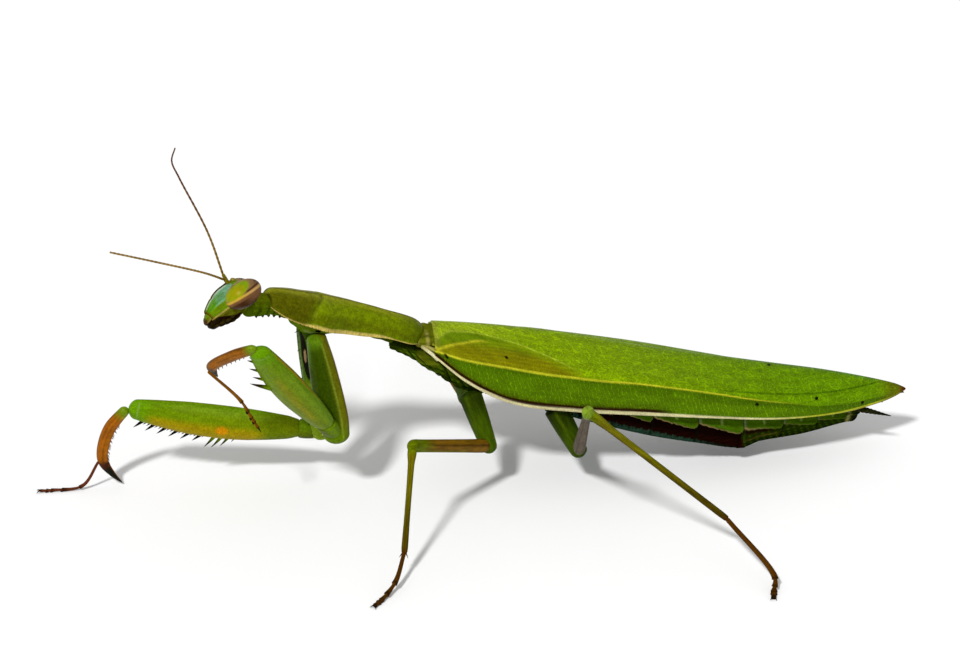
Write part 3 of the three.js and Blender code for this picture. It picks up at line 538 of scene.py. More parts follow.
def build_shield():
    size = profile(PRONOTUM_SHAPE)

    def section(w, h, t):
        _, high, rise = size(t[:, 0] * fore_length).T
        dome = SHIELD_WIDEST + h * np.where(h > 0, 1 - SHIELD_WIDEST, SHIELD_BELLY)
        drop = profile(RIM_DROP)(t[:, 0] * fore_length)[:, 0]
        return w, dome + (rise / high)[:, None] - (drop / high)[:, None] * np.where(h > 0, (1 - h) ** 2, 1)

    form = sweep(lambda t: forebody_middle(t * fore_length), lambda t: size(t * fore_length),
                 rings=240, sides=144, caps=(2.3, 0.8), section=section)
    distance = (form.t * fore_length)[:, None]
    side = np.where(form.angle > np.pi, 2 * np.pi - form.angle, form.angle)[None]   # 0 keel, pi / 2 rim
    degrees = np.degrees(side)
    groove_at = 12.45 + 0.9 * np.sin(side) ** 2 - 0.25 * np.cos(3 * side)
    on_top = 1 - ease(degrees, 84, 96)
    groove = bump_at(distance, groove_at, 0.2) * on_top * band(degrees, 5, 84, 6)
    keel = bump_at(degrees, 0, 3.2) * band(distance, 0.8, 17, 0.6) * (1 - 0.6 * bump_at(distance, 12.4, 0.6))
    rim = bump_at(degrees, 91, 3.5)
    dents = 0.03 * np.sin(distance * 2.1 + 1) * bump_at(degrees, 40, 22)
    form.push(0.05 * keel - 0.14 * groove + 0.09 * rim + dents)
    tint = paint(
        mix(SHIELD_GREEN, OLIVE_BROWN, ease(distance - groove_at, -0.1, 0.6)),
        ("8ba01c", bump_at(distance - groove_at, -0.35, 0.35) * band(degrees, 12, 80, 10) * 0.55),
        (SHIELD_TOP, bump_at(degrees, 6, 17) * 0.75),
        ("4c4c08", bump_at(degrees, 72, 14) * 0.45 * ease(distance, 17.6, 15)),
        ("5c6c08", ease(distance, 4.5, 1.5) * 0.6),
        ("4c3c08", keel * 0.85),
        ("4a520c", groove * 0.55))
    thin = 4.5 * (1 - band(distance, 5.5, 12.5, 2.0))
    tint = paint(
        tint,
        (RIM_TAN, ease(degrees, 83 + thin, 86 + thin) * (1 - ease(degrees, 118, 140))),
        (RIM_PALE, ease(distance, 0.22, 0.08) * ease(degrees, 10, 40)),
        ("5c3c18", ease(distance, 17.75, 18.1) * ease(degrees, 20, 50) * 0.8))
    piece = Piece().sheet(form, tint)
    # Denticles along the front half of the rim.
    ring = form.points
    for rim_angle in (np.pi / 2, 3 * np.pi / 2):
        column = np.argmin(abs(form.angle - rim_angle))
        for place in np.arange(10.6, 17.4, 0.42):
            row = int(np.argmin(abs(form.t * fore_length - place)))
            out = unit(ring[row, column] - ring[row].mean(0))
            thorn(piece, ring[row, column] - out * 0.06, out * 0.9 + foreward * 0.4, 0.14, 0.06,
                  RIM_TAN, "8a6a3a", sides=6)
    piece.build("shield", "shield", [shield_material], ["pronotum"])


build_shield()

# ---- head

head_down = direction(HEAD_HEADING, HEAD_PITCH)


def turned(v, axis, degrees):
    a = math.radians(degrees)
    return v * math.cos(a) + np.cross(axis, v) * math.sin(a) + axis * (axis @ v) * (1 - math.cos(a))


head_left = turned(direction(HEAD_HEADING + 90, 0), head_down, HEAD_ROLL)
head_face = unit(np.cross(head_down, head_left))


def in_head(down, left, face):
    down, left, face = (np.asarray(x, float)[..., None] for x in (down, left, face))
    return HEAD_CENTRE + head_down * down + head_left * left + head_face * face


FRONS_BLUE, FRONS_GREEN = "7ab088", "5c9414"
HEAD_GREEN, HEAD_OLIVE = "6f8f1a", "6c7222"
CROWN, HEAD_BROWN, MOUTH_DARK = "a48760", "5a3416", "241008"


def head_form():
    size = profile(HEAD_SHAPE)
    first, last = HEAD_SHAPE[0][0], HEAD_SHAPE[-1][0]
    down = lambda t: lerp(first, last, t)
    form = sweep(lambda t: in_head(down(t), 0 * t, size(down(t))[:, 2]), lambda t: size(down(t))[:, :2],
                 up=head_face, rings=140, sides=144, caps=(0.5, 0.35))
    d = down(form.t)[:, None]
    # Degrees round the head from the middle of the face, the same on both sides.
    away = form.side
    face = (form.points - HEAD_CENTRE) @ head_face
    edge = bump_at(away, 15 + 3 * np.sin(d), 4) * ease(d, -0.2, 0.4)
    plate = band(away, 12, 74 - 5 * d, 5) * band(d, 0.35, 3.3, 0.3)
    sulcus = bump_at(away, 66 - 5 * d, 3) * band(d, -0.3, 3.3, 0.3)
    # The lower margin of the cheek runs from behind the eye to the corner of the mouth.
    below = 0.02 + (d - 1.92) * 0.06 - face
    jaw_gap = below - lerp(1.15, 0.14, ease(d, 1.4, 3.4))
    wrinkles = 0.03 * np.sin(d * 15 + away * 0.1) * ease(jaw_gap, 0, 0.2) * ease(d, 0.9, 1.4)
    form.push(0.05 * edge - 0.03 * plate - 0.06 * sulcus + 0.05 * bump_at(below, 0, 0.07) * ease(d, 0.8, 1.2)
              - 0.1 * bump_at(jaw_gap, 0.05, 0.08) * ease(d, 0.9, 1.3) + wrinkles
              + 0.06 * bump_at(away, 40, 18) * bump_at(d, -0.9, 0.4)
              - 0.05 * bump_at(d, 2.35, 0.1) * (away < 60))
    lines = 0.5 + 0.5 * np.sin(away * 0.55 + d * 3)
    clouds = 0.5 + 0.5 * np.sin(d * 4.3 + away * 0.12) * np.sin(away * 0.2 - d * 2)
    tint = paint(
        mix(HEAD_GREEN, mix(FRONS_GREEN, FRONS_BLUE, ease(d + 0.7 * clouds, 3.4, 2.0)), plate),
        (FRONS_GREEN, plate * bump_at(away, 46 - 3 * d, 11) * band(d, 1.5, 2.9, 0.4) * (0.4 + 0.4 * lines)),
        # The pale line just beside the raised edge of the face is painted highlight.
        ("d4e4c8", bump_at(away, 19, 4) * band(d, 0.8, 3.2, 0.5) * 0.7),
        ("4c8a3c", sulcus * 0.6),
        (CROWN, ease(d, -0.25, -0.65) * (1 - 0.5 * ease(away, 100, 140))),
        (HEAD_OLIVE, ease(below, -0.12, 0.1) * ease(d, 0.3, 0.9)),
        ("5a4218", ease(clouds, 0.5, 0.9) * ease(below, 0, 0.2) * 0.6),
        ("c0a468", bump_at(below, 0.0, 0.07) * ease(d, 0.9, 1.5) * 0.9),
        (MOUTH_DARK, ease(jaw_gap, -0.04, 0.06) * ease(d, 0.8, 1.3)),
        ("4a4a14", ease(jaw_gap, 0.3, 0.5) * ease(d, 0.8, 1.3) * 0.8),
        (HEAD_BROWN, bump_at(away, 4, 11) * ease(d, -0.4, 0.3)),
        (HEAD_BROWN, ease(d, 3.3, 3.7) * ease(below, 0.1, -0.2)))
    return form, tint


def eye_grid(side, rows=96, columns=128):
    long, thick, deep = EYE_SIZE
    polar = np.linspace(0, np.pi, rows + 1)[:, None]
    around = np.arange(columns)[None] / columns * 2 * np.pi
    d = -np.cos(polar) + 0 * around
    l, f = np.sin(polar) * np.cos(around), np.sin(polar) * np.sin(around)
    d, l, f = d * long, l * thick, f * deep
    tilt = math.radians(EYE_TILT)
    # As the CAD turns it about the sideways axis: the lower end leans toward the face.
    down, face = d * math.cos(tilt) - f * math.sin(tilt), d * math.sin(tilt) + f * math.cos(tilt)
    points = in_head(down, side * EYE_APART + l, face + EYE_FORWARD)
    return points, l * side, down, face + EYE_FORWARD


def eye_tint(out, down, face):
    """Stripes run along the eye, tilted toward the face: a green oval, a tan stripe and a dark brown half."""
    across = face - 0.2 * down - 0.04
    oval = ((down - 0.42) / 1.4) ** 2 + ((face - 0.86) / 0.54) ** 2
    tint = paint(
        mix("98a20a", "84a41c", ease(down, 0.4, -0.9)),
        ("b08410", ease(oval, 0.5, 0.0) * 0.35),
        ("96884c", ease(oval, 0.86, 1.05)),
        ("93704c", ease(oval, 1.05, 1.35)),
        ("4a2a18", ease(oval, 1.9, 2.9) * ease(across, 0.3, 0.8)),
        ("d8b058", ease(across, 0.24 - 0.1 * ease(down, 0.5, -0.8), 0.1 - 0.1 * ease(down, 0.5, -0.8))),
        ("d8ac70", ease(down, 0.4, -0.6) * ease(across, 0.22, 0.1)),
        ("3c1409", bump_at(across, 0.3 - 0.06 * (down + 0.8), 0.09) * ease(down, 0.1, -0.4)),
        ("80563a", ease(across, -0.01, -0.14)),
        ("452210", ease(across, -0.25, -0.5) * ease(down, -1.0, 0.9) * 0.9),
        ("8a5c40", bump_at(across, -0.62, 0.14) * ease(down, 0.2, -0.6) * 0.7),
        ("3e1c10", ease(across, -0.85, -1.2)),
        ("3a2010", ease(-out, 0.15, 0.45)))
    return tint


def build_eyes():
    for name, side in (("left", 1), ("right", -1)):
        points, out, down, face = eye_grid(side)
        rows, columns = points.shape[:2]
        form = Sheet(points, np.linspace(0, 1, rows), np.arange(columns) / columns * 2 * np.pi,
                     length=4.0, girth=8.0)
        Piece().sheet(form, eye_tint(out, down, face)).build(
            "compound_eye_" + name, "eye", [eye_material], ["eye_" + name])


build_eyes()


def build_mouth():
    dark, cream, brown = "180a04", "a08450", "482a12"
    lip = sweep(straight(in_head(3.5, 0, 0.38), in_head(4.5, 0, 0.1)),
                tapered(0.78, 0.5, 0.62, 0.36), up=head_face, rings=32, sides=40, caps=(0.1, 0.5))
    lip.push(-0.05 * bump_at(lip.t, 0.45, 0.04)[:, None] * (lip.side < 120))
    tint = paint(
        mix("6c8416", brown, ease(lip.t, 0.35, 0.7)[:, None]),
        (cream, bump_at(lip.side, 88, 9) * ease(lip.t, 0.9, 0.6)[:, None] * 0.8),
        (dark, ease(lip.side, 94, 106)))
    Piece().sheet(lip, tint).build("lip", "mouth", [mouth_material], ["clypeus"])
    piece = Piece()
    for side in (-1, 1):
        jaw = sweep(straight(in_head(3.0, side * 0.62, -0.2), in_head(4.4, side * 0.3, -0.35)),
                    tapered(0.36, 0.22, 0.5, 0.32), up=head_face, rings=20, sides=20, caps=(0.1, 0.3))
        piece.sheet(jaw, dark)
        for stops, thick in (
                ([(1.7, 0.95, -0.95), (2.5, 0.95, -0.92), (3.3, 0.75, -0.7), (4.0, 0.5, -0.55)], 0.15),
                ([(1.3, 0.55, -1.4), (2.1, 0.55, -1.38), (2.9, 0.5, -1.1), (3.6, 0.36, -0.82)], 0.14)):
            path = spline([in_head(down, side * out, face) for down, out, face in stops])
            beads = lambda t: abs(np.sin(t * np.pi * 4))
            palp = sweep(path, round_section(lambda t: thick - 0.05 * (1 - beads(t))),
                         up=head_left, rings=48, sides=12, caps=(0.1, 0.12))
            piece.sheet(palp, mix(dark, "4c3c18", beads(palp.t) * 0.5)[:, None])
    plate = sweep(straight(in_head(2.6, 0, -0.85), in_head(4.3, 0, -0.5)),
                  tapered(0.75, 0.45, 0.3, 0.26), up=head_face, rings=24, sides=24, caps=(0.3, 0.4))
    piece.sheet(plate, mix(dark, "342810", ease(plate.t, 0.5, 0.0))[:, None])
    piece.build("mouthparts", "mouth", [mouth_material], ["jaws"])


build_mouth()


def build_antennae():
    for name, mirror in (("left", 1), ("right", -1)):
        down, left, face = ANTENNA_BASE
        base = in_head(down, mirror * left, face)
        path = spline([base, *ANTENNAE[name]])
        tip, length, thin = ("b08c58", 11, 0.095) if name == "left" else ("6a4430", 13, 0.07)
        joints = int(length / ANTENNA_JOINT)
        beads = lambda t: np.cos(t * joints * 2 * np.pi)
        form = sweep(path, round_section(lambda t: lerp(0.115, thin, t) * (1 + 0.1 * beads(t))),
                     up=head_left, rings=joints * 6, sides=10, caps=(0.05, 0.1))
        tint = mix("a07c30", tip, ease(form.t, 0.0, 0.5)) * (1 - 0.25 * beads(form.t))[:, None]
        piece = Piece().sheet(form, tint[:, None])
        start = in_head(down, mirror * left, face - 0.45)
        scape = sweep(straight(start, path(0.035)[0]), tapered(0.24, 0.16, 0.24, 0.16), up=head_left,
                      rings=16, sides=16, caps=(0.1, 0.15))
        piece.sheet(scape, "8c7c28")
        piece.build("feeler_" + name, "feeler", [leg_material], ["antenna_" + name])


build_antennae()

# ---- the skin: head, neck, trunk and limbs

skin = Piece()
skin_nodes = []
LEG_KIND, ARM_KIND = 1, 2      # places of the two leg materials in the skin's list
head_shape, head_tint = head_form()
skin.sheet(head_shape, head_tint)
skin_nodes.append("head")
for down, left, face, size in ((-0.75, 0, 1.25, 0.17), (-0.5, 0.32, 1.5, 0.19), (-0.5, -0.32, 1.5, 0.19)):
    bead = sweep(straight(in_head(down, left, face - size), in_head(down, left, face + size)),
                 lambda t: np.full((len(t), 2), size), up=head_left, rings=14, sides=16, caps=(size, size))
    skin.sheet(bead, "a89a58")


NECK_RINGS = 110


def build_neck():
    below = lambda distance, drop: forebody_middle(distance)[0] - UP * drop
    path = spline([below(14.4, 1.3), below(17.2, 0.72), in_head(0.1, 0, -1.25)])
    size = profile([[0, 1, 0.6], [0.45, 1.15, 0.9], [0.7, 1.3, 1.1], [1, 1.3, 1.15]])
    form = sweep(path, size, rings=NECK_RINGS, sides=64)
    turn = form.side
    wave = np.sin(form.t * 34)[:, None] * ease(turn, 40, 110)
    form.push(0.035 * wave + 0.02 * np.sin(form.t * 21 + 1)[:, None] * np.cos(np.radians(turn * 3)))
    tint = paint(
        mix("8a9c20", "648018", ease(turn, 25, 110)),
        ("34440c", ease(wave, 0.1, -0.9) * 0.6))
    skin.sheet(form, tint)
    skin_nodes.append("neck")
    for t in (0.3, 0.43, 0.58, 0.72, 0.86):
        row = int(t * NECK_RINGS)
        for column in (27, 37):
            root = form.points[row, column]
            thorn(skin, root, root - form.points[row].mean(0), 0.22, 0.17, "4c5a16", "2c3408")


build_neck()

PROTHORAX_SPOT = 11.9, 94      # the black spot above each fore coxa: distance and degrees round


def build_prothorax():
    size = profile(PROTHORAX_SHAPE)
    first, last = PROTHORAX_SHAPE[0][0], PROTHORAX_SHAPE[-1][0]
    at = lambda t: lerp(first, last, t)

    def section(w, h, t):
        top = -PROTHORAX_TOP / size(at(t[:, 0]))[:, 1:2] + 0.12
        return w, lerp(-1, top, (h + 1) / 2)

    form = sweep(lambda t: forebody_middle(at(t)), lambda t: size(at(t)),
                 rings=160, sides=96, section=section)
    distance, turn = at(form.t)[:, None], form.turn
    form.push(0.03 * np.sin(distance * 4) * ease(abs(turn), 60, 120))
    tint = paint(
        mix("7e9c30", "4c5c12", ease(distance, 9.5, 6)),
        ("5f8a1a", ease(abs(turn), 110, 150) * 0.7),
        ("b4c088", bump_at(abs(turn), 118, 9) * band(distance, 11.4, 13, 0.5) * 0.5))
    spot = ((distance - PROTHORAX_SPOT[0]) / 0.3) ** 2 + ((abs(turn) - PROTHORAX_SPOT[1]) / 9.5) ** 2
    tint = mix(tint, "060502", ease(spot, 1.15, 0.85))
    skin.sheet(form, tint)
    skin_nodes.append("prothorax")


build_prothorax()


def trunk(rows, front, rear, rings, sides, caps=(0, 0)):
    """A form along the body from rows of place, lowest and highest point and half width."""
    values = profile(rows)
    x = lambda t: lerp(front, rear, t)

    def middle(t):
        low, high, _ = values(x(t)).T
        return np.stack([x(t), 0 * t, (low + high) / 2], 1)

    def size(t):
        low, high, wide = values(x(t)).T
        return np.stack([wide, (high - low) / 2], 1)

    return sweep(middle, size, rings=rings, sides=sides, caps=caps, facing=BACKWARD)


# The folded hinge plates of the wings: start and end beside the middle, half width and colour.
HINGE_PLATES = [
    ((-6.0, 0.7, 16.55), (-4.5, 1.1, 16.5), 0.3, "c8bc7c"),
    ((-6.15, 1.45, 16.3), (-4.5, 2.0, 15.85), 0.3, "a4a44c"),
    ((-6.2, 1.95, 16.0), (-4.6, 2.5, 15.4), 0.26, "b8b06c"),
    ((-5.9, 2.4, 15.6), (-4.7, 2.75, 15.1), 0.24, "687424"),
    ((-5.3, 2.55, 15.0), (-4.3, 2.9, 14.5), 0.3, "48561a"),
]


def build_thorax():
    form = trunk(THORAX_SHAPE, THORAX_FRONT, THORAX_REAR, 260, 128)
    x = lerp(THORAX_FRONT, THORAX_REAR, form.t)[:, None]
    side = form.side
    seams = np.zeros((len(form.t), len(form.angle)))
    for seam, slope in ((-6.9, 0.01), (-5.4, 0.03), (-3.6, 0.012), (-2.2, 0.035), (-0.6, 0.02), (1.6, 0.03),
                        (4.2, 0.02)):
        seams = np.maximum(seams, bump_at(x - slope * (side - 110), seam, 0.13) * ease(side, 45, 65))
    for level, reach in ((104, 4), (128, 6), (150, 5)):
        seams = np.maximum(seams, bump_at(side, level + reach * np.sin(x * 1.3 + level), 2.0))
    lumps = np.sin(x * 2.1 + side * 0.05) * np.sin(side * 0.09 + x * 0.7)
    folds = np.sin(x * 6.3 + side * 0.11) * np.sin(side * 0.21 - x * 1.7)
    form.push(0.1 * lumps * ease(side, 40, 70) - 0.2 * seams + 0.05 * folds * ease(side, 45, 70))
    tint = paint(
        mix("3e5210", "20300a", ease(side, 90, 140)),
        ("7c7e2c", band(x, -6.4, -4.7, 0.4) * ease(side, 100, 80) * (0.5 + 0.3 * lumps)),
        # Lighter green on the crests of the lumps and folds is painted highlight.
        ("6c8834", ease(lumps, 0.4, 0.9) * 0.4 * ease(side, 50, 80)),
        ("64842c", ease(folds, 0.3, 0.9) * 0.4 * ease(side, 50, 80)),
        ("0c1006", seams * 0.9))
    skin.sheet(form, tint)
    # The back plate and the folded hinge plates between the shield and the roots of the wings.
    plate = sweep(straight([-6.9, -0.1, 16.05], [-3.4, 0, 16.1]), tapered(2.1, 2.1, 0.95, 0.95),
                  rings=60, sides=72, caps=(0.9, 0.9))
    turn = plate.turn
    plate.push(0.07 * np.sin(plate.t * 21)[:, None] * ease(abs(turn), 10, 40))
    tint = mix("6c7424", "a09858", ease(np.sin(plate.t * 21)[:, None], 0, 1) * ease(abs(turn), 10, 40))
    skin.sheet(plate, mix(tint, "38480e", bump_at(abs(turn), 48, 6) * 0.7))
    for hand in (-1, 1):
        for start, end, thick, text in HINGE_PLATES:
            root, end = (np.array([p[0], hand * p[1], p[2]]) for p in (start, end))
            lump = sweep(straight(root, end), tapered(thick, thick, thick * 0.8, thick * 0.8),
                         rings=30, sides=24, caps=(0.5, 0.5))
            lump.push(0.05 * np.sin(lump.angle * 3)[None] * np.sin(lump.t * 9)[:, None])
            ridge = bump_at(lump.turn, -20 * hand, 28) * (0.5 + 0.5 * np.sin(lump.t * 15))[:, None]
            skin.sheet(lump, mix(text, "d0cc98", ridge * 0.5))
        # The wing's pale front margin runs on to the hinge.
        path = spline([[-4.6, hand * 3.12, 14.72], [-5.35, hand * 2.92, 15.45], [-6.3, hand * 2.35, 16.05]])
        margin = sweep(path, tapered(0.2, 0.16, 0.2, 0.16), rings=40, sides=16, caps=(0.15, 0.2))
        skin.sheet(margin, mix("f0e8b8", "b8b078", ease(margin.t, 0.5, 1.0))[:, None])
    skin_nodes.extend(["mesothorax", "metathorax"])


build_thorax()


def build_abdomen():
    rows, columns = 520, 160
    form = trunk(ABDOMEN_SHAPE, ABDOMEN_FRONT, ABDOMEN_REAR, rows, columns, caps=(0, 0.8))
    x = lerp(ABDOMEN_FRONT, ABDOMEN_REAR, form.t)[:, None]
    side = form.side
    rings = np.array(ABDOMEN_RINGS)
    k = np.clip(np.searchsorted(rings, x[:, 0]) - 1, 0, len(rings) - 2)
    share = np.clip((x[:, 0] - rings[k]) / (rings[k + 1] - rings[k]), 0, 1)[:, None]
    ahead = 1 - ease(x, PLATE_FRONT - 0.25, PLATE_FRONT + 0.15)
    # Side lobes of the upper plates: each hangs lowest behind its middle, with a pale hem.
    lobe_edge = 89 + 11 * share ** 0.8 * (1 - 0.8 * ease(share, 0.88, 1)) + 0.5 * np.sin(x * 9)
    hem = bump_at(side, lobe_edge, 1.7)
    rag = 2.5 * np.sin(x * 7.3) + 2 * np.sin(x * 17) + 14 * ease(x, 17, 25)
    gap = band(side, lobe_edge + 3, 128 + rag + 10 * ease(share, 0.6, 1), 3) * ahead
    joint = bump_at(share, 1.0, 0.025) + bump_at(share, 0.0, 0.025)
    form.push(0.14 * ease(share, 0, 0.2) * (side < lobe_edge)
              + 0.2 * bump_at(side, lobe_edge - 4, 5) * ease(share, 0, 0.85)
              - 0.2 * gap * (1 - 0.9 * ease(x, 24.5, 26.5)) - 0.14 * joint * (side < 150)
              + 0.012 * np.sin(x * 29) * np.sin(side * 0.7 + x * 2) * gap)
    tint = paint(
        mix("6d8c1c", "88a028", bump_at(side, 0, 40)),
        ("466812", ease(side, 50, 80)),
        ("9ab46c", bump_at(share, 0.5, 0.03) * band(side, 70, 84, 4) * 0.7),
        ("b8c890", bump_at(share, 0.02, 0.03) * band(side, 76, 92, 4) * 0.6),
        ("b08c64", hem * (1 - 0.7 * ease(x, PLATE_FRONT, PLATE_FRONT + 4))),
        ("120503", gap))
    stain = 0.4 + 0.3 * np.sin(x * 6.1 + side * 0.4) * np.sin(x * 2.3)
    tint = mix(tint, "300f07", gap * stain * ease(side, 108, 122))
    belly = ease(side, 124 + rag, 130 + rag) * ahead
    tint = paint(
        tint,
        (mix("141c10", "2c4a38", ease(x, 25, 21)), belly),
        ("101c10", belly * ease(np.sin(x * 5 + side * 0.4), 0.5, 1) * 0.5))
    rear = ease(x, PLATE_FRONT - 0.2, PLATE_FRONT + 0.3) * ease(side, lobe_edge, lobe_edge + 4)
    tint = mix(tint, mix("223208", "0c1404", ease(side, 100, 150)), rear)
    freckles = np.sin(x * 6 + side * 0.2) * np.sin(side * 0.35 - x * 3)
    tint = paint(
        tint,
        ("466418", rear * ease(freckles, 0.2, 0.9) * 0.6),
        ("1c0804", rear * bump_at(side, lobe_edge + 6, 6) * ease(x, 31.5, 29)),
        ("6c5c30", rear * bump_at(side, 116, 2.5) * 0.5 * band(x, 28, 30, 1.5)),
        ("11160a", joint * 0.7 * (side < 150)),
        ("9c9c60", bump_at(x, 38.6, 0.25) * band(side, 60, 150, 8) * 0.8),
        ("1c1208", ease(x, 39.2, 39.8) * 0.7))
    skin.sheet(form, tint)
    # The ragged rear corner of the fifth ring's dark side fold.
    for hand in (-1, 1):
        for n, (level, reach) in enumerate(((112, 0.3), (119, 0.5), (126, 0.75), (133, 0.6), (140, 0.9))):
            column = int(round((level if hand < 0 else 360 - level) / 360 * columns)) % columns
            row = int((PLATE_FRONT - 1.5 - ABDOMEN_FRONT) / (ABDOMEN_REAR - ABDOMEN_FRONT) * rows)
            thorn(skin, form.points[row, column] - form.normals()[row, column] * 0.08,
                  BACKWARD - UP * (0.12 + 0.05 * n), reach, 0.26, "1c0804", "34140a")
    skin_nodes.extend([f"abdomen_{n}" for n in range(1, 9)] + ["subgenital_plate"])


build_abdomen()


def build_cerci():
    for name, side in (("left", -1), ("right", 1)):
        root, tip = np.array([38.0, side * 0.8, 5.4]), np.array([43, side * 1.6, 4.2])
        joints = 12
        thick = profile([[0, 0.26], [0.4, 0.33], [1, 0.05]])
        size = round_section(lambda t: thick(t)[:, 0] * (1 + 0.08 * np.cos(t * joints * 2 * np.pi)))
        form = sweep(straight(root, tip), size, rings=joints * 8, sides=16, caps=(0.1, 0.1))
        bands = 1.1 - 0.5 * abs(np.sin(form.t * joints * np.pi))
        tint = mix("2c3010", "1c1a12", form.t) * bands[:, None]
        piece = Piece().sheet(form, tint[:, None])
        piece.build("tail_feeler_" + name, "foot", [leg_material], ["cercus_" + name])


build_cerci()

# ---- limbs

def leg_joints(leg):
    joints = [np.array(leg["base"], float)]
    for part in ("coxa", "femur", "tibia", "basitarsus", "toes"):
        length, heading, pitch = leg[part]
        joints.append(joints[-1] + direction(heading, pitch, leg["side"]) * length)
    if leg["stands"]:
        joints[5][2] = SOLE_HEIGHT
    return joints


def steps_of(joints):
    return [unit(b - a) for a, b in zip(joints, joints[1:])]


def limb(start, end, rows, **options):
    return sweep(straight(start, end), profile(rows), **options)


def ridged(form, ridges, depth):
    """Raises long ridges down a limb, at angles in degrees, and returns where they are."""
    degrees = np.degrees(form.angle)[None]
    total = 0
    for ridge in ridges:
        gap = (degrees - ridge + 180) % 360 - 180
        total = total + bump_at(gap, 0, 9)
    form.push(depth * total * band(form.t, 0.06, 0.94, 0.04)[:, None])
    return np.broadcast_to(total, (len(form.t), len(form.angle)))


KNEE_GREEN = "6c7c0c"
TOE_BROWN, TOE_DARK = "5a340e", "1e0e06"


def build_toes(name, leg, joints, steps, near_colour, dark):
    piece = Piece()
    level = unit(np.array([steps[4][0], steps[4][1], 0]))
    heel = joints[5] - level * SOLE_LENGTH if leg["stands"] else lerp(joints[4], joints[5], 0.6)
    path = spline([joints[3], joints[4], heel, joints[5]])
    # Where the five joints of the foot meet, as shares of the path.
    ends = np.array([0.0, 0.37, 0.56, 0.7, 0.82, 1.0])
    scale = {"fore": 0.8, "mid": 1.15, "hind": 1.35}[name.split("_")[0]]

    def joint_at(t):
        k = np.clip(np.searchsorted(ends, t, side="right") - 1, 0, 4)
        return k, (t - ends[k]) / np.diff(ends)[k]

    def size(t):
        k, share = joint_at(t)
        half = 0.15 + 0.1 * share ** 1.6
        half = np.where(k == 0, 0.17 + 0.03 * share + 0.06 * share ** 6, half)
        half = np.where(k == 4, 0.14 + 0.06 * share, half) * scale
        return np.stack([half, half * 1.05], 1)

    form = sweep(path, size, rings=150, sides=16, caps=(0.1, 0.15))
    k, share = joint_at(form.t)
    joint = ease(share, 0.55, 0.98) * (k > 0) + ease(share, 0.85, 1) * (k == 0)
    tint = mix(near_colour, dark, np.clip(joint, 0, 1) * 0.85)
    form.points[..., 2] = np.maximum(form.points[..., 2], 0)
    piece.sheet(form, tint[:, None])
    # Pads under the joints and two curved claws.
    tip, back = path(1.0)[0], path(0.97)[0]
    onward = unit(tip - back)
    side = unit(np.cross(onward, UP))
    for hand in (-1, 1):
        out = unit(onward * 0.8 + side * hand * 0.55 + UP * (0.35 if leg["stands"] else 0.1))
        thorn(piece, tip - onward * 0.1, out, 0.6, 0.1, "3a2010", "0c0806",
              bend=(-UP * 0.55 if leg["stands"] else -UP * 0.3 - onward * 0.2), sides=10)
    for k in range(1, 4):
        spot = path(ends[k + 1])[0]
        forward = unit(path(min(1, ends[k + 1] + 0.02))[0] - path(ends[k + 1] - 0.02)[0])
        down = unit(-UP + forward * (UP @ forward))
        pad = sweep(straight(spot - forward * 0.22 + down * 0.12, spot + forward * 0.16 + down * 0.2),
                    tapered(0.13, 0.13, 0.09, 0.09), rings=12, sides=12, caps=(0.12, 0.12))
        pad.points[..., 2] = np.maximum(pad.points[..., 2], 0)
        piece.sheet(pad, dark)
    piece.build("toes_" + name, "foot", [leg_material], [name + "_tarsus"])


# Half sizes along the walking legs: share of the length, half width and half height.
HIND_FEMUR_SHAPE = [
    [0, 0.5, 0.6], [0.08, 0.62, 0.72], [0.3, 0.56, 0.62], [0.85, 0.4, 0.44], [0.96, 0.6, 0.62],
    [1, 0.6, 0.62],
]
MID_FEMUR_SHAPE = [
    [0, 0.5, 0.58], [0.08, 0.6, 0.68], [0.3, 0.6, 0.66], [0.85, 0.54, 0.62], [0.96, 0.56, 0.64],
    [1, 0.56, 0.62],
]
WALKING_TIBIA_SHAPE = [
    [0, 0.46, 0.5], [0.06, 0.42, 0.46], [0.16, 0.3, 0.34], [0.6, 0.26, 0.3], [0.97, 0.3, 0.31],
    [1, 0.28, 0.28],
]


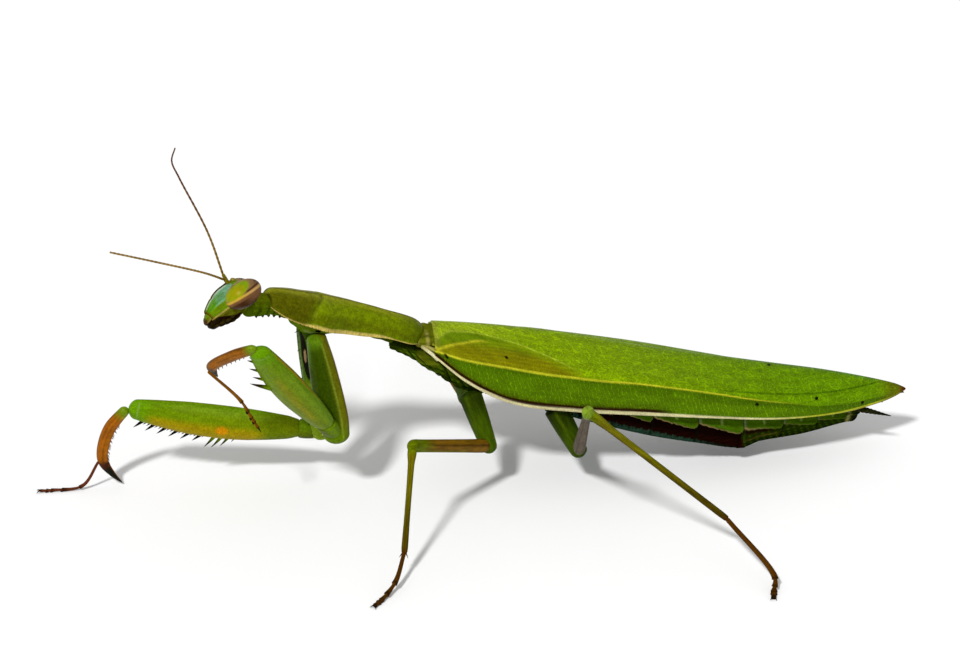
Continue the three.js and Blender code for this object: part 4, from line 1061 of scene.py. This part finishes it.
def build_walking_leg(name):
    leg = LEGS[name]
    joints = leg_joints(leg)
    steps = steps_of(joints)
    hind = name.startswith("hind")
    knee, hip = (0.72 if hind else 0.68), 0.78
    start = joints[0] - steps[0] * 0.6
    coxa = limb(start, joints[1] + steps[0] * hip, [[0, 1.2, 1.2], [0.5, 1.02, 1.05], [1, 0.78, 0.78]],
                rings=90, sides=48, caps=(0.3, hip))
    ridges = ridged(coxa, (20, 110, 200, 290), 0.045)
    tint = mix("4a6410", "2e400c", ease(coxa.t, 0.7, 0.1)[:, None])
    if hind:
        tint = tint * 0.7
    tint = mix(tint, "6f8a20", ridges * 0.25)
    skin.sheet(coxa, tint, LEG_KIND)
    femur = limb(joints[1] + steps[1] * 0.2, joints[2] + steps[1] * (knee - 0.1),
                 HIND_FEMUR_SHAPE if hind else MID_FEMUR_SHAPE, rings=220, sides=48, caps=(0.3, knee))
    ridges = ridged(femur, (0, 72, 144, 216, 288), 0.045)
    if hind:
        tint = paint(
            mix("6c5e4c", "3a3024", ridges * 0.6),
            ("5c6a24", ease(femur.t, 0.12, 0.0)[:, None]),
            ("8aa84c", ease(femur.t, 0.9, 0.94)[:, None]))
    else:
        tint = paint(
            mix("906826", "462810", ridges * 0.75),
            ("6e7a10", bump_at(femur.turn, 150, 26) * ease(femur.t, 0.2, 0.4)[:, None] * 0.7),
            (KNEE_GREEN, ease(femur.t, 0.68, 0.9)[:, None]),
            ("5c4a18", ease(femur.t, 0.1, 0.0)[:, None]))
    skin.sheet(femur, tint, LEG_KIND)
    tibia = limb(joints[2] + steps[2] * 0.2, joints[3] + steps[2] * 0.1,
                 WALKING_TIBIA_SHAPE, rings=180, sides=32, caps=(0.25, 0.2))
    ridges = ridged(tibia, (0, 90, 180, 270), 0.03)
    below = ease(tibia.side, 70, 130)
    tint = paint(
        mix("76700e", "5a4008", ridges * 0.6),
        ("4c3c0a", below * 0.6),
        ("4a3808", ease(tibia.t, 0.35, 0.9)[:, None] * 0.8))
    if hind:
        tint = mix(tint, "8e8c34", ease(tibia.t, 0.6, 0.0)[:, None] * 0.6 * (1 - below))
    tint = paint(
        tint,
        (KNEE_GREEN, ease(tibia.t, 0.1, 0.0)[:, None]),
        ("4c2c10", ease(tibia.t, 0.92, 1.0)[:, None]))
    skin.sheet(tibia, tint, LEG_KIND)
    side = unit(np.cross(steps[2], UP))
    for hand in (-1, 1):
        thorn(skin, joints[3] + side * 0.16 * hand, steps[3] * 0.6 + side * 0.5 * hand - UP * 0.5, 0.6, 0.07,
              "4c3010", TOE_DARK, kind=LEG_KIND)
    skin_nodes.extend([f"{name}_{part}" for part in ("coxa", "femur", "tibia")])
    build_toes(name, leg, joints, steps, TOE_BROWN, TOE_DARK)


for leg_name in ("mid_left", "mid_right", "hind_left", "hind_right"):
    build_walking_leg(leg_name)


# Rows of spines from near the knee to the root, as shares of the femur. lean is how far a row stands to the
# inner side, on the near and the far leg, and slant how much it points to the knee. The inner row is one long
# spine and two short ones in turn, and four long ones stand at the middle of the femur.
FEMUR_SPINES = [
    dict(first=0.9, last=0.53, lean=(0.62, 0.12), slant=0.8, length=([1.3, 0.6, 0.65] * 6)[:17],
         radius=(0.24, 0.14, 0.14), root="100a06", tip="040202"),
    dict(first=0.9, last=0.58, lean=(-0.55, 0.8), slant=1.2, length=[0.6, 0.9, 1.1, 2.0],
         radius=(0.16, 0.17, 0.19, 0.3), root="6c8c14", tip="2a140a"),
    dict(first=0.48, last=0.36, lean=(0.75, 0.05), slant=0.5, length=[1.7, 1.65, 1.35, 0.7],
         radius=(0.23, 0.22, 0.2, 0.12), root="7a9c1c", tip="2c3410"),
    dict(first=0.34, last=0.1, lean=(0.1, 0.1), slant=0.1, length=[0.16] * 12,
         radius=(0.08,), root="5a7012", tip="1c1408"),
]


COXA_RINGS, COXA_SIDES = 180, 80


def build_foreleg(name):
    leg = LEGS[name]
    near = name == "fore_left"
    joints = leg_joints(leg)
    steps = steps_of(joints)
    _, elbow, knee, ankle = joints[:4]
    femur_inner = unit(steps[2] - steps[1] * (steps[2] @ steps[1]))
    tibia_inner = unit(-steps[1] + steps[2] * (steps[1] @ steps[2]))
    inward = -np.cross(steps[1], femur_inner)

    coxa = limb(joints[0] - steps[0] * 0.5, elbow + steps[0] * 0.85,
                [[0, 0.95, 0.9], [0.05, 1.1, 1.0], [0.3, 1.1, 1.35], [0.75, 0.95, 1.55], [1, 0.85, 1.2]],
                rings=COXA_RINGS, sides=COXA_SIDES, caps=(0.5, 0.9))
    # Degrees round the coxa from its front edge, positive over its outer side.
    front = -169 if near else 137
    degrees = (np.degrees(coxa.angle)[None] - front + 180) % 360 - 180
    degrees = degrees if near else -degrees
    along = coxa.along
    ridge = bump_at(degrees, 118, 4) * band(along, 0.08, 0.93, 0.05)
    coxa.push(0.06 * ridge - 0.05 * bump_at(degrees, 108, 7) * band(along, 0.1, 0.9, 0.05)
              - 0.12 * band(degrees, -70, -8, 10) * band(along, 0.1, 0.5, 0.08))
    tint = paint(
        mix("405806", "767812", ease(degrees, 100, 135)),
        ("8c6018", bump_at(degrees, 176, 16) * band(along, 0.1, 0.85, 0.1) * 0.7),
        ("6c8c04", ease(along, 0.72, 0.98) * 0.85),
        ("5e8a24", band(degrees, 0, 30, 20) * ease(along, 0.32, 0.14) * 0.8),
        ("6c9428", band(degrees, 0, 110, 30) * ease(along, 0.14, 0.04) * 0.8),
        ("90a04a", ridge * 0.8))
    inner = ease(degrees, 6, -12) * ease(degrees, -178, -150)
    tint = mix(tint, mix("4c6c0e", "8aa830", ease(along, 0.38, 0.56)), inner)
    # The black mark with a pale middle on the inner side.
    mark = ((along - 0.22) / 0.2) ** 2 + ((degrees + 60 + 60 * (along - 0.22)) / 22) ** 2
    tint = paint(
        tint,
        ("050403", ease(mark, 1.1, 0.9)),
        ("a88660", ease(((along - 0.22) / 0.055) ** 2 + ((degrees + 62) / 8) ** 2, 1.2, 0.8)))
    skin.sheet(coxa, tint, ARM_KIND)
    normals = coxa.normals()

    def on_coxa(place, turn):
        angle = (front + (turn if near else -turn)) % 360
        return int(place * COXA_RINGS), int(round(angle / 360 * COXA_SIDES)) % COXA_SIDES

    for n in range(14):
        spot = on_coxa(lerp(0.12, 0.84, n / 13), -14)
        length = 0.2 + 0.16 * (n % 3 == 0)
        thorn(skin, coxa.points[spot] - normals[spot] * 0.03, normals[spot] - UP * 0.5, length, 0.06,
              "4c5a14", "140c06", sides=6, kind=ARM_KIND)
    for _ in range(34):
        place, turn = random.uniform(0.5, 0.97), random.uniform(-95, -10)
        spot = on_coxa(place, turn)
        bead = random.uniform(0.05, 0.1)
        thorn(skin, coxa.points[spot] - normals[spot] * 0.02, normals[spot], bead * 1.2, bead,
              "c8cc30", "e8ec90", sides=8, kind=ARM_KIND)

    femur_start = elbow + steps[1] * (1 + TROCHANTER_LENGTH)
    trochanter = limb(elbow + steps[1] * 0.2, femur_start + steps[1] * 0.35,
                      [[0, 0.6, 0.75], [0.4, 0.78, 0.98], [0.8, 0.8, 1.05], [1, 0.72, 0.9]],
                      up=femur_inner, rings=60, sides=56, caps=(0.4, 0.4))
    turn = trochanter.side
    tint = mix("5c6c10", "70921a", ease(turn, 60, 130))
    skin.sheet(trochanter, tint, ARM_KIND)

    femur_end = knee + steps[1] * 0.15
    rows = profile(FORE_FEMUR_SHAPE)
    chord = straight(femur_start, femur_end)
    line = lambda t: chord(t) + femur_inner * (FORE_FEMUR_SAG * np.sin(np.pi * np.atleast_1d(t)))[:, None]
    femur = sweep(line, rows, up=femur_inner, rings=260, sides=88, caps=(0.2, 0.7))
    along, turn = femur.along, femur.side          # 0 degrees toward the spines
    trough = bump_at(turn, 0, 16) * band(along, 0.3, 0.94, 0.05)
    crest = bump_at(turn, 180, 7) * band(along, 0.05, 0.95, 0.04)
    femur.push(-0.14 * trough + 0.05 * crest
               + 0.04 * bump_at(turn, 24, 7) * band(along, 0.3, 0.95, 0.05))
    tint = paint(
        mix("78900a", "769808", ease(along, 0.3, 0.9)),
        ("6c9418", ease(turn, 110, 160)),
        ("86a43e", bump_at(turn, 140, 16) * band(along, 0.02, 0.7, 0.1) * 0.55),
        ("44600c", bump_at(turn, 30, 22) * ease(along, 0.5, 0.05) * 0.7))
    if near:
        tint = mix(tint, "a49600", bump_at(turn, 98, 14) * band(along, 0.22, 0.62, 0.15) * 0.5)
    else:
        tint = paint(
            tint,
            ("6c7c08", ease(along, 0.32, 0.05) * 0.8),
            ("b49a04", ease(turn, 104, 66) * band(along, 0.3, 0.82, 0.14) * 0.9),
            ("dc9408", ease(((turn - 72) / 17) ** 2 + ((along - 0.45) / 0.036) ** 2, 1.6, 0.3)))
    tint = paint(
        tint,
        ("b4741c", crest * 0.8 * ease(along, 0.2, 0.6) * (1 if near else 0.25)),
        ("6ca40c", ease(along, 0.84, 0.95) * 0.8),
        ("b8cc88", bump_at(along, 0.945, 0.005) * band(turn, 40, 150, 10) * 0.25))
    skin.sheet(femur, tint, ARM_KIND)
    for row in FEMUR_SPINES:
        count = len(row["length"])
        for n, length in enumerate(row["length"]):
            t = lerp(row["first"], row["last"], n / (count - 1))
            wide, deep = rows(t)[0]
            lean = row["lean"][0 if near else 1]
            foot = femur_inner * deep * math.sqrt(1 - min(0.9, lean * lean)) * 0.86 + inward * wide * lean
            step = femur_inner + steps[1] * row["slant"] + inward * lean * 0.5
            thorn(skin, line(t)[0] + foot, step, length + 0.12, row["radius"][n % len(row["radius"])],
                  row["root"], row["tip"], bend=steps[1] * 0.12, kind=ARM_KIND)

    tibia_start = knee + steps[1] * 0.3
    claw_middle = ankle + steps[2] * leg["claw"] * 0.35 + tibia_inner * leg["claw"] * 0.5
    claw_tip = ankle + steps[2] * leg["claw"] * 0.5 + tibia_inner * leg["claw"] * 0.9
    belly = lerp(knee + steps[1] * 0.75, ankle, 0.5) - tibia_inner * leg["bow"]
    path = spline([tibia_start, belly, ankle, claw_middle, claw_tip])
    sizes = profile([[0, 0.42, 0.5], [0.1, 0.46, 0.6], [0.2, 0.45, 0.66], [0.5, 0.4, 0.58], [0.7, 0.26, 0.36],
                     [0.8, 0.18, 0.26], [0.92, 0.1, 0.14], [1, 0.03, 0.03]])
    tibia = sweep(path, sizes, up=tibia_inner, rings=220, sides=40, caps=(0.4, 0.05))
    along, turn = tibia.along, tibia.side
    tibia.push(-0.07 * bump_at(turn, 0, 20) * band(along, 0.1, 0.52, 0.05)
               + 0.03 * bump_at(turn, 90, 12) * band(along, 0.1, 0.55, 0.05))
    orange, amber = ("9c5c1c", "b06c14") if near else ("a45c04", "bc6c00")
    tint = paint(
        mix(orange, amber, ease(turn, 150, 60)),
        ("6c3008", 0.55 * bump_at(turn, 86, 9)),
        ("84400c", 0.4 * bump_at(turn, 120, 8)),
        ("5c3a10", bump_at(turn, 180, 18) * 0.6),
        ("7c9c1c", ease(along, 0.13, 0.03)),
        ("4c1808", ease(along, 0.46, 0.56)),
        ("080403", ease(along, 0.55, 0.66)),
        ("b8701c", bump_at(turn, 0, 22) * band(along, 0.58, 0.92, 0.06)))
    piece = Piece().sheet(tibia, tint)
    for row_lean, count in ((0.5, 13), (-0.5, 9)):
        for n in range(count):
            t = lerp(0.17, 0.53, n / (count - 1))
            deep = float(sizes(t)[0, 1])
            root = path(t)[0] + tibia_inner * deep * 0.8 + inward * row_lean * 0.36
            step = tibia_inner + steps[2] * 0.35 + inward * row_lean * 0.3
            thorn(piece, root, step, 0.28 + 0.22 * n / count, 0.075, "8a4a12", "180c06", bend=steps[2] * 0.3)
    piece.build("grasping_shin_" + name, "claw", [horn_material], [name + "_tibia"])
    skin_nodes.extend([f"{name}_{part}" for part in ("coxa", "trochanter", "femur")])
    joints = list(joints)
    joints[3] = ankle - tibia_inner * 0.45 - inward * 0.75
    build_toes(name, leg, joints, steps, "8c5418" if near else "6c3420", TOE_DARK)


for leg_name in ("fore_left", "fore_right"):
    build_foreleg(leg_name)

skin.build("skin", "skin", [skin_material, leg_material, arm_material], skin_nodes)

# ---- wings

wing_values = profile(WING_SHAPE)
WING_ROOT, WING_TIP = WING_SHAPE[0][0], WING_SHAPE[-1][0]
WING_ROUNDING = 43.5       # where the rounding of the tip starts


def wing_surface(x, place, side):
    """The CAD's middle surface of a wing at places x, one row per x; place runs from inner to outer edge."""
    ridge, shoulder, shoulder_z, edge, edge_z = wing_values(x).T
    zero = 0 * x
    points = []
    if side < 0:
        lap = np.minimum(WING_LAP, shoulder * 0.45)
        points.append([-lap, ridge - WING_LAP_FALL * lap])
    points += [[zero, ridge], [shoulder * 0.5, lerp(ridge, shoulder_z, 0.35)]]
    points += [[shoulder, shoulder_z], [edge, edge_z]]
    knots = np.array(points).transpose(2, 0, 1)      # x, knot, (y, z)
    out = np.empty((len(x), len(place), 3))
    for i in range(len(x)):
        flat = np.hstack([np.zeros((knots.shape[1], 1)), knots[i]])
        out[i] = spline(flat)(place)
    y, z = out[..., 1], out[..., 2]
    under = 1 - ease(y, WING_LAP * 0.7, WING_LAP + 1.4)
    sink = WING_STEP_DOWN * under if side > 0 else 0
    return np.stack([np.broadcast_to(x[:, None], y.shape), side * y, z - sink], -1)


def wing_grid(side, rows, columns):
    v = np.linspace(0, 1, rows + 1)
    x = lerp(WING_ROOT, WING_TIP, 0.35 * v + 0.65 * np.sin(v * np.pi / 2))
    place = np.linspace(0, 1, columns + 1)
    surface = wing_surface(x, place, side)
    normal = unit(np.cross(np.gradient(surface, axis=0), np.gradient(surface, axis=1)))
    normal *= np.sign(normal[..., 2:].mean()) or 1
    upright = ease(x, WING_UPRIGHT_FROM, WING_TIP)[:, None, None]
    normal = unit(normal * (1 - upright) + UP * upright)
    return x, place, surface, normal


# Veins: place along the body and distance over the wing from its outer edge.
MAIN_VEIN = [
    [-4.9, 0.75], [-3.5, 1.5], [-1.5, 2.45], [1.4, 3.45], [3.4, 3.7], [7.4, 3.6], [11.4, 3.4], [15.6, 3.2],
    [19.7, 2.85], [22.8, 2.55], [26, 2.2], [31.5, 1.6], [35, 1.05], [44.8, 0.2],
]
CLAVAL_VEIN = [
    [-4.9, 2.0], [-4.4, 2.6], [-3.1, 4.6], [-0.1, 6.4], [3, 6.7], [5.8, 5.85], [8.8, 4.4], [10.5, 3.6],
]
BASAL_VEIN = [[-4.6, 1.1], [-2.4, 3.6], [-0.3, 5.4], [3, 6.6]]
WING_FOLD = [[22.8, 2.9], [31.2, 2.5], [36, 2.3], [42.1, 2.1]]
MARGIN_WIDTH = [[-4.9, 0.3], [-2, 0.36], [17, 0.36], [24, 0.24], [34, 0.15], [41, 0.09], [44.8, 0.05]]
WING_SPOTS = [(-3.8, 1.2), (2.1, 4.6), (27.9, 1.6), (34.5, 1.8), (39.7, 0.45), (30, 6.1)]


def wing_tint(x, inward, width):
    """The wing's colours and its height of relief, for places x along and distances inward from the edge."""
    at = lambda rows: profile(rows)(x[:, 0])
    above, margin = inward - at(MAIN_VEIN), at(MARGIN_WIDTH)
    claval, basal, fold = inward - at(CLAVAL_VEIN), (inward - at(BASAL_VEIN)) / 1.5, inward - at(WING_FOLD)
    # The front field lies outside the main vein, and the middle field between it and the claval vein.
    costal = ease(above, 0.05, -0.1)
    middle = ease(above, 0, 0.12) * ease(claval, 0.05, -0.15) * ease(x, 10.4, 8.5)
    tint = paint(
        mix("90b20a", "6f9c04", ease(x, 4, 36)),
        ("b8d43c", ease(x, 6, -3) * ease(claval, 0, 0.3) * 0.7),
        ("5c9a54", ease(width - inward, 1.2, 0.6) * band(x, 29, 39, 4) * 0.6),
        (mix("8a8a08", "7c940a", ease(above, 1.2, 2.4)), middle),
        ("84a40c", middle * ease(claval, -1.2, -0.1) * 0.8),
        ("74960c", middle * ease(basal, 0, 0.2) * ease(x, 2.5, 0) * 0.8))
    spread = 0.35 + 0.65 * ease(x, -4.9, 1.5)
    fan = np.cos(above / spread * 2 * np.pi / 0.44) * ease(basal, 0.1, -0.1)
    tint = paint(
        tint,
        ("b4ac24", middle * ease(fan, 0.3, 1) * 0.35),
        ("5e8408", costal),
        ("3c6002", costal * ease(above, -0.9, -0.1) * 0.55))
    near_margin = ease(inward, margin + 1.1, margin + 0.15) * band(x, -4.2, 16, 3)
    flecks = ease(np.sin(x * 13 + inward * 21) * np.sin(x * 8.3 - inward * 17), 0.0, 0.5)
    tint = paint(
        tint,
        ("3c1a06", near_margin * (0.35 + 0.65 * flecks) * 0.85),
        ("280a02", band(inward, margin, margin + 0.32, 0.14) * band(x, -4.2, 17, 3)))
    main = bump_at(above, 0, lerp(0.085, 0.05, ease(x, 2, 26))) * ease(x, 34, 26)
    tint = paint(
        tint,
        ("ece85c", main),
        ("cce068", bump_at(claval / (1 + ease(x, 0, -4)), 0, 0.09) * ease(x, 10, 7) * 0.6),
        ("dcd850", bump_at(basal, 0, 0.1) * ease(x, 0.8, -0.8) * 0.85),
        ("2c5602", bump_at(fold, 0, 0.1) * band(x, 25.5, 41, 2) * 0.65),
        ("a0a050", ease(x, -4.2, -4.7) * band(inward, 1.5, 4.6, 0.4) * 0.6))
    border = mix("f8eeb4", "c8cc58", ease(x, 26, 35))
    tint = paint(
        tint,
        (border, ease(inward, margin + 0.05, margin - 0.03)),
        ("6f7010", ease(x, 41, 43.8) * 0.8),
        ("5c2a12", ease(x, 43.7, 44.6)))
    for place, depth in WING_SPOTS:
        tint = mix(tint, "080802", ease(((x - place) / 0.2) ** 2 + ((inward - depth) / 0.17) ** 2, 1.5, 0.6))
    height = (0.08 * main + 0.05 * bump_at(claval, 0, 0.12) * ease(x, 10, 8.6)
              + 0.04 * bump_at(basal, 0, 0.12) * ease(x, 0.8, -0.8) + 0.02 * middle * fan
              - 0.05 * bump_at(fold, 0, 0.12) * band(x, 25.5, 41, 2)
              + 0.06 * ease(inward, margin + 0.08, margin - 0.05))
    plain = (1 - main) * ease(inward, margin, margin + 0.1)
    dorsal = 1 - np.maximum(costal, middle)
    return tint, height, np.stack([costal, dorsal, middle], -1) * plain[..., None]


def build_wing(name, side):
    x, place, surface, normal = wing_grid(side, rows=440, columns=108)
    # Distance in millimetres over the wing from its outer edge, row by row.
    steps = np.linalg.norm(np.diff(surface, axis=1), axis=2)
    inward = np.hstack([np.zeros((len(x), 1)), np.cumsum(steps[:, ::-1], 1)])[:, ::-1]
    width = inward[:, :1]
    along = np.broadcast_to(x[:, None], inward.shape)
    tint, height, fields = wing_tint(along, inward, width)
    half = 0.06 + 0.12 * ease(np.minimum(inward, width - inward), 0, 0.5)
    # The two edges draw together in a rounded tip.
    share = np.clip((x - WING_ROUNDING) / (WING_TIP - WING_ROUNDING + 0.02), 0, 0.99)
    taper = 1 - np.sqrt(1 - share ** 2)[:, None]
    middle = surface[:, surface.shape[1] * 2 // 3][:, None]
    surface = surface + (middle - surface) * taper[..., None]
    half = half * (1 - 0.7 * taper)
    lift = WING_THICKNESS / 2 - 0.14
    outer = surface + normal * (lift + half + height)[..., None]
    inner = surface + normal * (lift - half)[..., None]
    n, m = along.shape
    k = np.arange(n * m).reshape(n, m)

    def quads(g):
        return np.stack([g[:-1, :-1], g[:-1, 1:], g[1:, 1:], g[1:, :-1]], -1).reshape(-1, 4)

    top, bottom = quads(k), quads(k + n * m)[:, ::-1]
    loop = np.concatenate([k[0, :-1], k[:-1, -1], k[-1, :0:-1], k[:0:-1, 0]])
    after = np.roll(loop, -1)
    rim = np.stack([after, loop, loop + n * m, after + n * m], -1)
    points = np.vstack([outer.reshape(-1, 3), inner.reshape(-1, 3)])
    faces = np.vstack([top, bottom, rim])
    if signed_volume(points, faces) < 0:
        faces = faces[:, ::-1]
    flat = np.stack([along, inward, 0 * inward], -1).reshape(-1, 3)
    piece = Piece()
    piece.points.append(points)
    piece.faces.append(faces)
    piece.kind.append(np.zeros(len(faces), int))
    piece.place.append(np.vstack([flat] * 2))
    piece.tint.append(np.vstack([tint.reshape(-1, 3)] * 2))
    piece.count = len(points)
    piece.build(name, "wing", [wing_material], [name], [("fields", np.vstack([fields.reshape(-1, 3)] * 2))])


def make_wing_material():
    net = Net("wing", 0.42, 0.06, Specular_Tint=WARM_GLOSS)
    tint, place = net.attribute("tint", "Color"), net.attribute("place")
    x, inward, _ = net.parts(place)
    costal, dorsal, middle = net.parts(net.attribute("fields"))
    cloud = net.noise(net.scaled(place, (0.3, 1, 1)), 1.4, 4)
    grain = net.noise(place, 6, 4)
    wobble = net.math("SUBTRACT", net.noise(place, 1.6, 3), 0.5)
    # Close, steep veins of the front field.
    slant = net.add(net.add(net.times(x, 4.4), net.times(inward, 1.5)), net.times(wobble, 3.4))
    comb_line = net.times(net.step(net.wave(net.times(slant, math.pi / 2)), 0.5, 0.05), costal)
    # The network over the back, drawn out along the wing.
    cells = net.cells(net.scaled(place, (0.6, 1.7, 1)), 2.1, "DISTANCE_TO_EDGE")
    net_line = net.times(net.step(cells, 0.17, 0.0), dorsal)
    small = net.cells(net.scaled(place, (1, 1.4, 1)), 3.8, "DISTANCE_TO_EDGE")
    ticks = net.wave(net.times(net.add(x, wobble), 14))
    base = net.shade(tint, net.times(comb_line, net.step(grain, 0.15, 0.55)), 0.92, 1.65)
    base = net.shade(base, net_line, 0.95, 1.3)
    base = net.shade(base, net.step(small, 0.1, 0.0), 0.97, 1.12)
    base = net.shade(base, net.times(net.step(ticks, 0.4, 0.1), middle), 1.0, 0.8)
    base = net.shade(base, cloud, 0.82, 1.16)
    base = net.shade(base, grain, 0.84, 1.16)
    normal = net.bump(net.add(net_line, net.times(comb_line, 0.8)), 0.07 * MM, 0.8)
    normal = net.bump(net.step(small, 0.2, 0.0), 0.03 * MM, 0.6, normal)
    normal = net.bump(net.noise(place, 0.9, 2), 0.35 * MM, 0.5, normal)
    return net.finish(base, normal)


wing_material = make_wing_material()
build_wing("forewing_left", -1)
build_wing("forewing_right", 1)

# ---- floor, light and camera

TARGET = (np.array([0, 0, 16]) + SHIFT) * MM
CAMERA_AZIMUTH, CAMERA_ELEVATION, CAMERA_DISTANCE, LENS = math.radians(-8), math.radians(26), 0.290, 107.7


def aim(thing, travel, distance):
    """Puts a camera or a light at a distance from the target, looking along travel at it."""
    thing.location = Vector(TARGET - travel * distance)
    thing.rotation_mode = "QUATERNION"
    thing.rotation_quaternion = Vector(travel).to_track_quat("-Z", "Y")
    bpy.context.scene.collection.objects.link(thing)


back = np.array([math.sin(CAMERA_AZIMUTH) * math.cos(CAMERA_ELEVATION),
                 -math.cos(CAMERA_AZIMUTH) * math.cos(CAMERA_ELEVATION), math.sin(CAMERA_ELEVATION)])
camera = bpy.data.objects.new("camera", bpy.data.cameras.new("camera"))
camera.data.lens = LENS
camera.data.clip_start, camera.data.clip_end = 0.01, 20
aim(camera, -back, CAMERA_DISTANCE)
bpy.context.scene.camera = camera


def add_light(name, kind, energy, travel, distance):
    light = bpy.data.objects.new(name, bpy.data.lights.new(name, kind))
    light.data.energy = energy
    aim(light, unit(travel), distance)
    return light.data


key_light = add_light("key", "SUN", energy=2.55, travel=[0.50, 0.81, -1], distance=0.6)
key_light.angle = math.radians(6)
fill_light = add_light("fill", "AREA", energy=0.35, travel=[0.3, 1, -0.35], distance=0.7)
fill_light.shape, fill_light.size = "DISK", 0.5


def build_floor():
    mesh = bpy.data.meshes.new("floor")
    reach = 1.5
    corners = [(-reach, -reach, 0), (reach, -reach, 0), (reach, reach, 0), (-reach, reach, 0)]
    mesh.from_pydata(corners, [], [(0, 1, 2, 3)])
    net = Net("floor", 0.9, 0.1)
    tone = net.noise(net.node("TexCoord", {}, "Object"), 40, 2)
    dull, pale = (0.93, 0.93, 0.93, 1), (0.95, 0.95, 0.95, 1)
    floor = bpy.data.objects.new("floor", mesh)
    mesh.materials.append(net.finish(net.node("Mix", {0: tone, 6: dull, 7: pale}, 2, data_type="RGBA")))
    bpy.context.scene.collection.objects.link(floor)


build_floor()

world = bpy.data.worlds.new("studio")
bpy.context.scene.world = world
world.use_nodes = True
background = world.node_tree.nodes["Background"]
background.inputs["Color"].default_value = (1, 1, 1, 1)
background.inputs["Strength"].default_value = 0.5
bpy.context.scene.view_settings.view_transform = "Standard"
